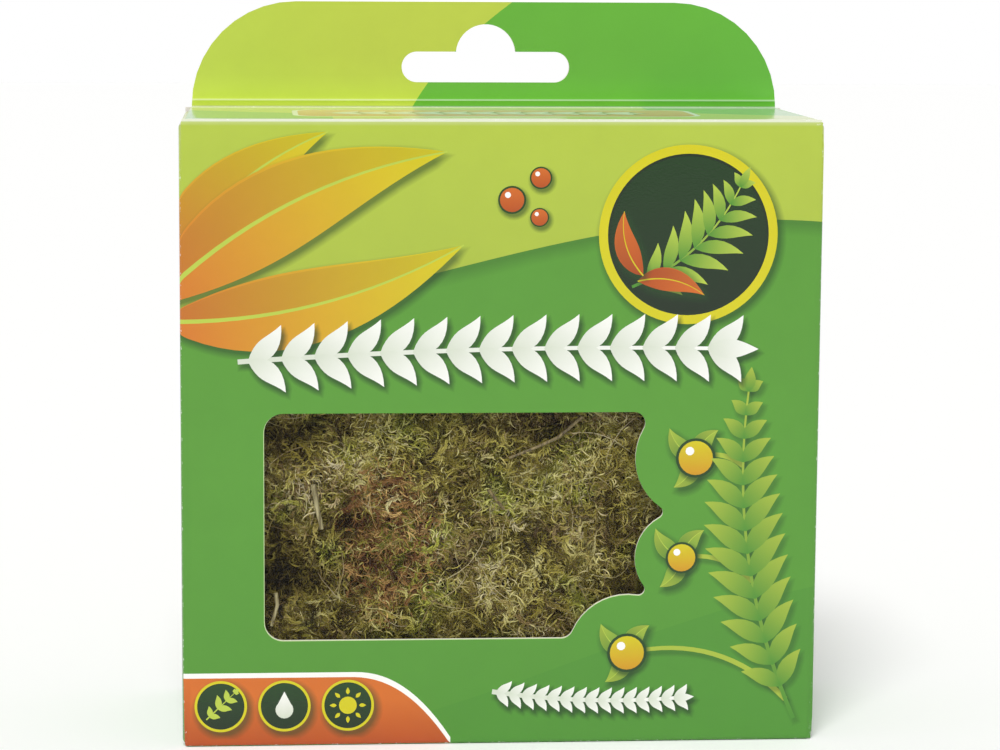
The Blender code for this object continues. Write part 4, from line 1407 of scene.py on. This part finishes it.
# %% The planting tree
def planting_tree():
    tree = bpy.data.node_groups.new("planting", "GeometryNodeTree")
    sockets = (
        ("Geometry", "NodeSocketGeometry", None), ("Plants", "NodeSocketCollection", None),
        ("Per Square Metre", "NodeSocketFloat", 1e5), ("Seed", "NodeSocketInt", 1), ("Size", "NodeSocketFloat", 1.0),
        ("Lowest", "NodeSocketFloat", -0.001), ("Highest", "NodeSocketFloat", 0.0),
        ("Tilt Down", "NodeSocketFloat", -0.2), ("Tilt Up", "NodeSocketFloat", 0.4),
        ("Tuft Size", "NodeSocketFloat", 0.01), ("Disorder", "NodeSocketFloat", 0.5),
        ("Tone", "NodeSocketFloat", 0.0), ("Material", "NodeSocketMaterial", None),
    )
    for name, kind, value in sockets:
        socket = tree.interface.new_socket(name, in_out="INPUT", socket_type=kind)
        if value is not None:
            socket.default_value = value
    tree.interface.new_socket("Geometry", in_out="OUTPUT", socket_type="NodeSocketGeometry")
    given = add(tree, "NodeGroupInput").outputs
    cover = add(tree, "GeometryNodeInputNamedAttribute", {"Name": "cover"}, data_type="FLOAT")
    dense = add(
        tree, "ShaderNodeMath", {0: given["Per Square Metre"], 1: cover.outputs["Attribute"]}, operation="MULTIPLY"
    )
    points = add(
        tree, "GeometryNodeDistributePointsOnFaces",
        {"Mesh": given["Geometry"], "Density": dense.outputs[0], "Seed": given["Seed"]},
    )

    def chance_of(low, high, offset):
        seed = add(tree, "ShaderNodeMath", {0: given["Seed"], 1: float(offset)}, operation="ADD")
        drawn = add(tree, "FunctionNodeRandomValue", {"Seed": seed.outputs[0]}, data_type="FLOAT")
        for name, value in ((2, low), (3, high)):
            if isinstance(value, bpy.types.NodeSocket):
                tree.links.new(value, drawn.inputs[name])
            else:
                drawn.inputs[name].default_value = value
        return drawn.outputs[1]

    shift = add(
        tree, "ShaderNodeVectorMath",
        {0: points.outputs["Normal"], "Scale": chance_of(given["Lowest"], given["Highest"], 11)}, operation="SCALE",
    )
    moved = add(tree, "GeometryNodeSetPosition", {"Geometry": points.outputs["Points"], "Offset": shift.outputs[0]})
    tuft = add(tree, "ShaderNodeMath", {0: 1.0, 1: given["Tuft Size"]}, operation="DIVIDE")
    field = add(
        tree, "ShaderNodeTexNoise",
        {"Vector": add(tree, "GeometryNodeInputPosition").outputs[0], "Scale": tuft.outputs[0], "Detail": 0.0},
    )
    heading = add(tree, "ShaderNodeMath", {0: field.outputs["Fac"], 1: 16.0}, operation="MULTIPLY")
    stray = add(
        tree, "ShaderNodeMath", {0: chance_of(-math.pi, math.pi, 12), 1: given["Disorder"]}, operation="MULTIPLY"
    )
    turn = add(tree, "ShaderNodeMath", {0: heading.outputs[0], 1: stray.outputs[0]}, operation="ADD")
    raised = add(
        tree, "ShaderNodeMath", {0: chance_of(given["Tilt Down"], given["Tilt Up"], 13), 1: -1.0}, operation="MULTIPLY"
    )
    angles = add(
        tree, "ShaderNodeCombineXYZ",
        {"X": chance_of(-0.7, 0.7, 14), "Y": raised.outputs[0], "Z": turn.outputs[0]},
    )
    local = add(tree, "FunctionNodeEulerToRotation", {0: angles.outputs[0]})
    facing = add(
        tree, "FunctionNodeRotateRotation", {"Rotation": points.outputs["Rotation"], "Rotate By": local.outputs[0]},
        rotation_space="LOCAL",
    )
    size = add(
        tree, "ShaderNodeMath", {0: chance_of(0.72, 1.28, 15), 1: given["Size"]}, operation="MULTIPLY"
    )
    picked = add(
        tree, "GeometryNodeCollectionInfo",
        {"Collection": given["Plants"], "Separate Children": True, "Reset Children": True},
    )
    planted = add(
        tree, "GeometryNodeInstanceOnPoints", {
            "Points": moved.outputs[0], "Instance": picked.outputs[0], "Pick Instance": True,
            "Rotation": facing.outputs[0], "Scale": size.outputs[0],
        },
    )
    tone = add(tree, "ShaderNodeMath", {0: chance_of(0.0, 0.85, 16), 1: given["Tone"]}, operation="ADD")
    toned = add(
        tree, "GeometryNodeStoreNamedAttribute",
        {"Geometry": planted.outputs[0], "Name": "tone", "Value": tone.outputs[0]},
        data_type="FLOAT", domain="INSTANCE",
    )
    real = add(tree, "GeometryNodeRealizeInstances", {"Geometry": toned.outputs[0]})
    dressed = add(
        tree, "GeometryNodeSetMaterial", {"Geometry": real.outputs[0], "Material": given["Material"]}
    )
    add(tree, "NodeGroupOutput", {"Geometry": dressed.outputs[0]})
    return tree


PLANTING = planting_tree()
print("planting tree:", len(PLANTING.nodes), "nodes")

# %% Plant the moss
def plant(name, ground, **values):
    """Runs the planting tree on a ground and keeps what grew as a plain mesh."""
    grower = bpy.data.objects.new("grower", ground)
    bpy.context.scene.collection.objects.link(grower)
    modifier = grower.modifiers.new("planting", "NODES")
    modifier.node_group = PLANTING
    for item in PLANTING.interface.items_tree:
        key = item.name.replace(" ", "_").lower()
        if item.in_out == "INPUT" and key in values:
            modifier[item.identifier] = values[key]
    grower.update_tag()
    bpy.context.view_layer.update()
    ready = grower.evaluated_get(bpy.context.evaluated_depsgraph_get())
    mesh = bpy.data.meshes.new_from_object(ready)
    mesh.name = name
    bpy.data.objects.remove(grower)
    made = bpy.data.objects.new(name, mesh)
    bpy.context.scene.collection.objects.link(made)
    triangles = sum(len(p.vertices) - 2 for p in mesh.polygons)
    print(f"{name}: {triangles} triangles")
    return made


def ground_with_cover(name, cover_at):
    """A copy of the bed's mesh with the cover that a function gives at each point."""
    ground = bed.data.copy()
    ground.name = name
    cover = ground.attributes.new("cover", "FLOAT", "POINT")
    cover.data.foreach_set("value", [cover_at(*(v.co / MM)) for v in ground.vertices])
    return ground


def behind_window(x, y, z):
    if y > moss_low.y + 5.5:
        return 0.0
    return 1.0 if -48 < x < 36 and 13 < z < 67 else 0.05


def on_top(x, y, z):
    return 1.0 if z > moss_high.z - 5.5 else 0.0


window_ground = ground_with_cover("window_ground", behind_window)
top_ground = ground_with_cover("top_ground", on_top)
leafy = {"plants": shoots, "material": SHOOT_LOOK, "tuft_size": 0.011}
curly = {"plants": curls, "material": SHOOT_LOOK, "tuft_size": 0.006}
wiry = {"plants": threads, "material": FIBRE_LOOK, "tuft_size": 0.008}
moss_pieces = [
    plant("moss_under_shoots", window_ground, **leafy, per_square_metre=1.8e5, seed=3, size=1.0, lowest=-0.0004,
          highest=0.0006, tilt_down=-0.15, tilt_up=0.4, disorder=0.65, tone=-0.05),
    plant("moss_shoots_low", window_ground, **leafy, per_square_metre=3.1e5, seed=5, size=0.92, lowest=0.0003,
          highest=0.0011, tilt_down=-0.2, tilt_up=0.45, disorder=0.5, tone=0.08),
    plant("moss_shoots_high", window_ground, **leafy, per_square_metre=1.9e5, seed=8, size=0.78, lowest=0.0008,
          highest=0.0016, tilt_down=-0.35, tilt_up=0.3, disorder=0.5, tone=0.25),
    plant("moss_curls_low", window_ground, **curly, per_square_metre=3.8e6, seed=10, size=1.0, lowest=0.0002,
          highest=0.0015, tilt_down=-0.4, tilt_up=0.5, disorder=0.8, tone=0.05),
    plant("moss_curls_high", window_ground, **curly, per_square_metre=3.8e6, seed=14, size=0.92, lowest=0.0009,
          highest=0.0020, tilt_down=-0.4, tilt_up=0.4, disorder=0.8, tone=0.18),
    plant("moss_threads_low", window_ground, **wiry, per_square_metre=1.6e5, seed=17, size=0.9, lowest=0.0002,
          highest=0.0017, tilt_down=-0.3, tilt_up=0.4, disorder=1.0, tone=0.1),
    plant("moss_fibres_front", window_ground, plants=fibres, material=FIBRE_LOOK, tuft_size=0.02,
          per_square_metre=1.7e5, seed=9, size=0.85, lowest=0.0004, highest=0.0020, tilt_down=-0.12, tilt_up=0.15,
          disorder=1.0, tone=0.25),
    plant("moss_shoots_top", top_ground, **leafy, per_square_metre=2.0e5, seed=12, size=1.0, lowest=-0.0004,
          highest=0.0011, tilt_down=-0.15, tilt_up=0.35, disorder=0.55, tone=0.1),
    plant("moss_curls_top", top_ground, **curly, per_square_metre=1.2e6, seed=15, size=1.0, lowest=0.0,
          highest=0.0013, tilt_down=-0.3, tilt_up=0.4, disorder=1.0, tone=0.1),
]

# %% Keep the moss inside its space
def keep_inside(made):
    """Presses what would poke through the film or the walls back to the clump's own space."""
    count = len(made.data.vertices)
    where = np.empty(count * 3, np.float32)
    made.data.vertices.foreach_get("co", where)
    where = where.reshape(-1, 3) / MM
    front = moss_low.y + 0.1
    near = where[:, 1] < front + 1.0
    where[near, 1] = front + 1.0 - 0.9 * (1 - np.exp(-(front + 1.0 - where[near, 1]) / 0.9))
    where[:, 0] = np.clip(where[:, 0], moss_low.x + 0.2, moss_high.x - 0.2)
    where[:, 1] = np.clip(where[:, 1], front, moss_high.y - 0.2)
    where[:, 2] = np.clip(where[:, 2], moss_low.z + 0.2, moss_high.z + 0.6)
    made.data.vertices.foreach_set("co", (where * MM).ravel())
    made.data.update()


for made in moss_pieces:
    keep_inside(made)
    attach(made, "carton")
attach(bed, "carton")
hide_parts("moss_clump")
moss_triangles = sum(len(made.data.loop_triangles) for made in [bed, *moss_pieces])
print("moss in all:", moss_triangles, "triangles")

# %% [markdown]
# ## Dry stems
#
# A few dry stems lie against the film. The solids already have their shape, so they only take a
# straw material.

# %% Dry stems
def make_straw(name, streak, skin):
    """Dry grass stalk: straw with darker streaks along it, silky from its waxy skin."""
    material, tree, surface = new_material(name)
    where = add(tree, "ShaderNodeTexCoord").outputs["Object"]
    along = add(tree, "ShaderNodeMapping", {"Vector": where, "Scale": (2.2, 2.2, 0.3)})
    streaks = add(tree, "ShaderNodeTexNoise", {"Vector": along.outputs[0], "Scale": 900.0, "Detail": 3.0})
    share = add(tree, "ShaderNodeMapRange", {"Value": streaks.outputs["Fac"], "From Min": 0.36, "From Max": 0.64})
    tint = add(
        tree, "ShaderNodeMix", {0: share.outputs[0], 6: rgba(ink(streak)), 7: rgba(ink(skin))}, data_type="RGBA"
    )
    tree.links.new(tint.outputs[2], surface.inputs["Base Color"])
    surface.inputs["Roughness"].default_value = 0.5
    return material


pale_straw = make_straw("dry_grass_stalk", "#655A38", "#B7AD80")
brown_straw = make_straw("weathered_grass_stalk", "#4A3C22", "#8F7F52")
for name, look in (
    ("dry_stem_upright", pale_straw), ("dry_stem_corner", pale_straw),
    ("dry_stem_slanted", brown_straw), ("dry_stem_short", brown_straw),
):
    stem = bpy.data.objects[name]
    stem.data.materials.clear()
    stem.data.materials.append(look)

# %% [markdown]
# ## Floor, light and camera
#
# The photograph is a product shot on pure white with light from all round and a little more from
# above. The camera stands a little to the left and above, with its lens shifted.

# %% Studio
scene = bpy.context.scene
scene.view_settings.view_transform = "Standard"


def plain(name, colour, roughness):
    material, tree, surface = new_material(name)
    surface.inputs["Base Color"].default_value = rgba(ink(colour))
    surface.inputs["Roughness"].default_value = roughness
    return material


bpy.ops.mesh.primitive_plane_add(size=6.0, location=(0, 0, 0))
floor = bpy.context.object
floor.name = "floor"
floor.data.materials.append(plain("white_studio_paper", "#FDFDFC", 0.9))

world = bpy.data.worlds.new("studio")
scene.world = world
world.use_nodes = True
sky = world.node_tree
rays = add(sky, "ShaderNodeLightPath").outputs
towards = add(sky, "ShaderNodeSeparateXYZ", {0: add(sky, "ShaderNodeTexCoord").outputs["Generated"]})
backdrop = add(
    sky, "ShaderNodeMapRange", {"Value": towards.outputs["Y"], "From Min": -0.3, "From Max": 0.4, "To Min": 0.3},
)
mirrored = add(sky, "ShaderNodeMix", {0: rays["Is Glossy Ray"], 2: 0.45, 3: backdrop.outputs[0]}).outputs[0]
brightness = add(sky, "ShaderNodeMix", {0: rays["Is Camera Ray"], 2: mirrored, 3: 1.0})
sky.nodes["Background"].inputs["Color"].default_value = (1.0, 1.0, 1.0, 1.0)
sky.links.new(brightness.outputs[0], sky.nodes["Background"].inputs["Strength"])


key_light = bpy.data.lights.new("overhead_bank", "SUN")
key_light.energy = 2.15
key_light.angle = math.radians(22)
key = bpy.data.objects.new("overhead_bank", key_light)
key.rotation_euler = Vector((0.25, 1.0, -1.65)).to_track_quat("-Z", "Y").to_euler()
scene.collection.objects.link(key)

camera_data = bpy.data.cameras.new("camera")
camera = bpy.data.objects.new("camera", camera_data)
scene.collection.objects.link(camera)
scene.camera = camera
yaw, pitch, roll = math.radians(3.921), math.radians(7.301), math.radians(0.287)
camera.location = (-0.04324, -0.54225, 0.13946)
turned = Euler((0, 0, -yaw)).to_matrix() @ Euler((math.pi / 2 - pitch, 0, 0)).to_matrix() @ Euler((0, 0, roll)).to_matrix()
camera.rotation_euler = turned.to_euler()
camera_data.lens = 106.5
camera_data.sensor_width = 36.0
camera_data.shift_x = 0.04
camera_data.shift_y = -0.03
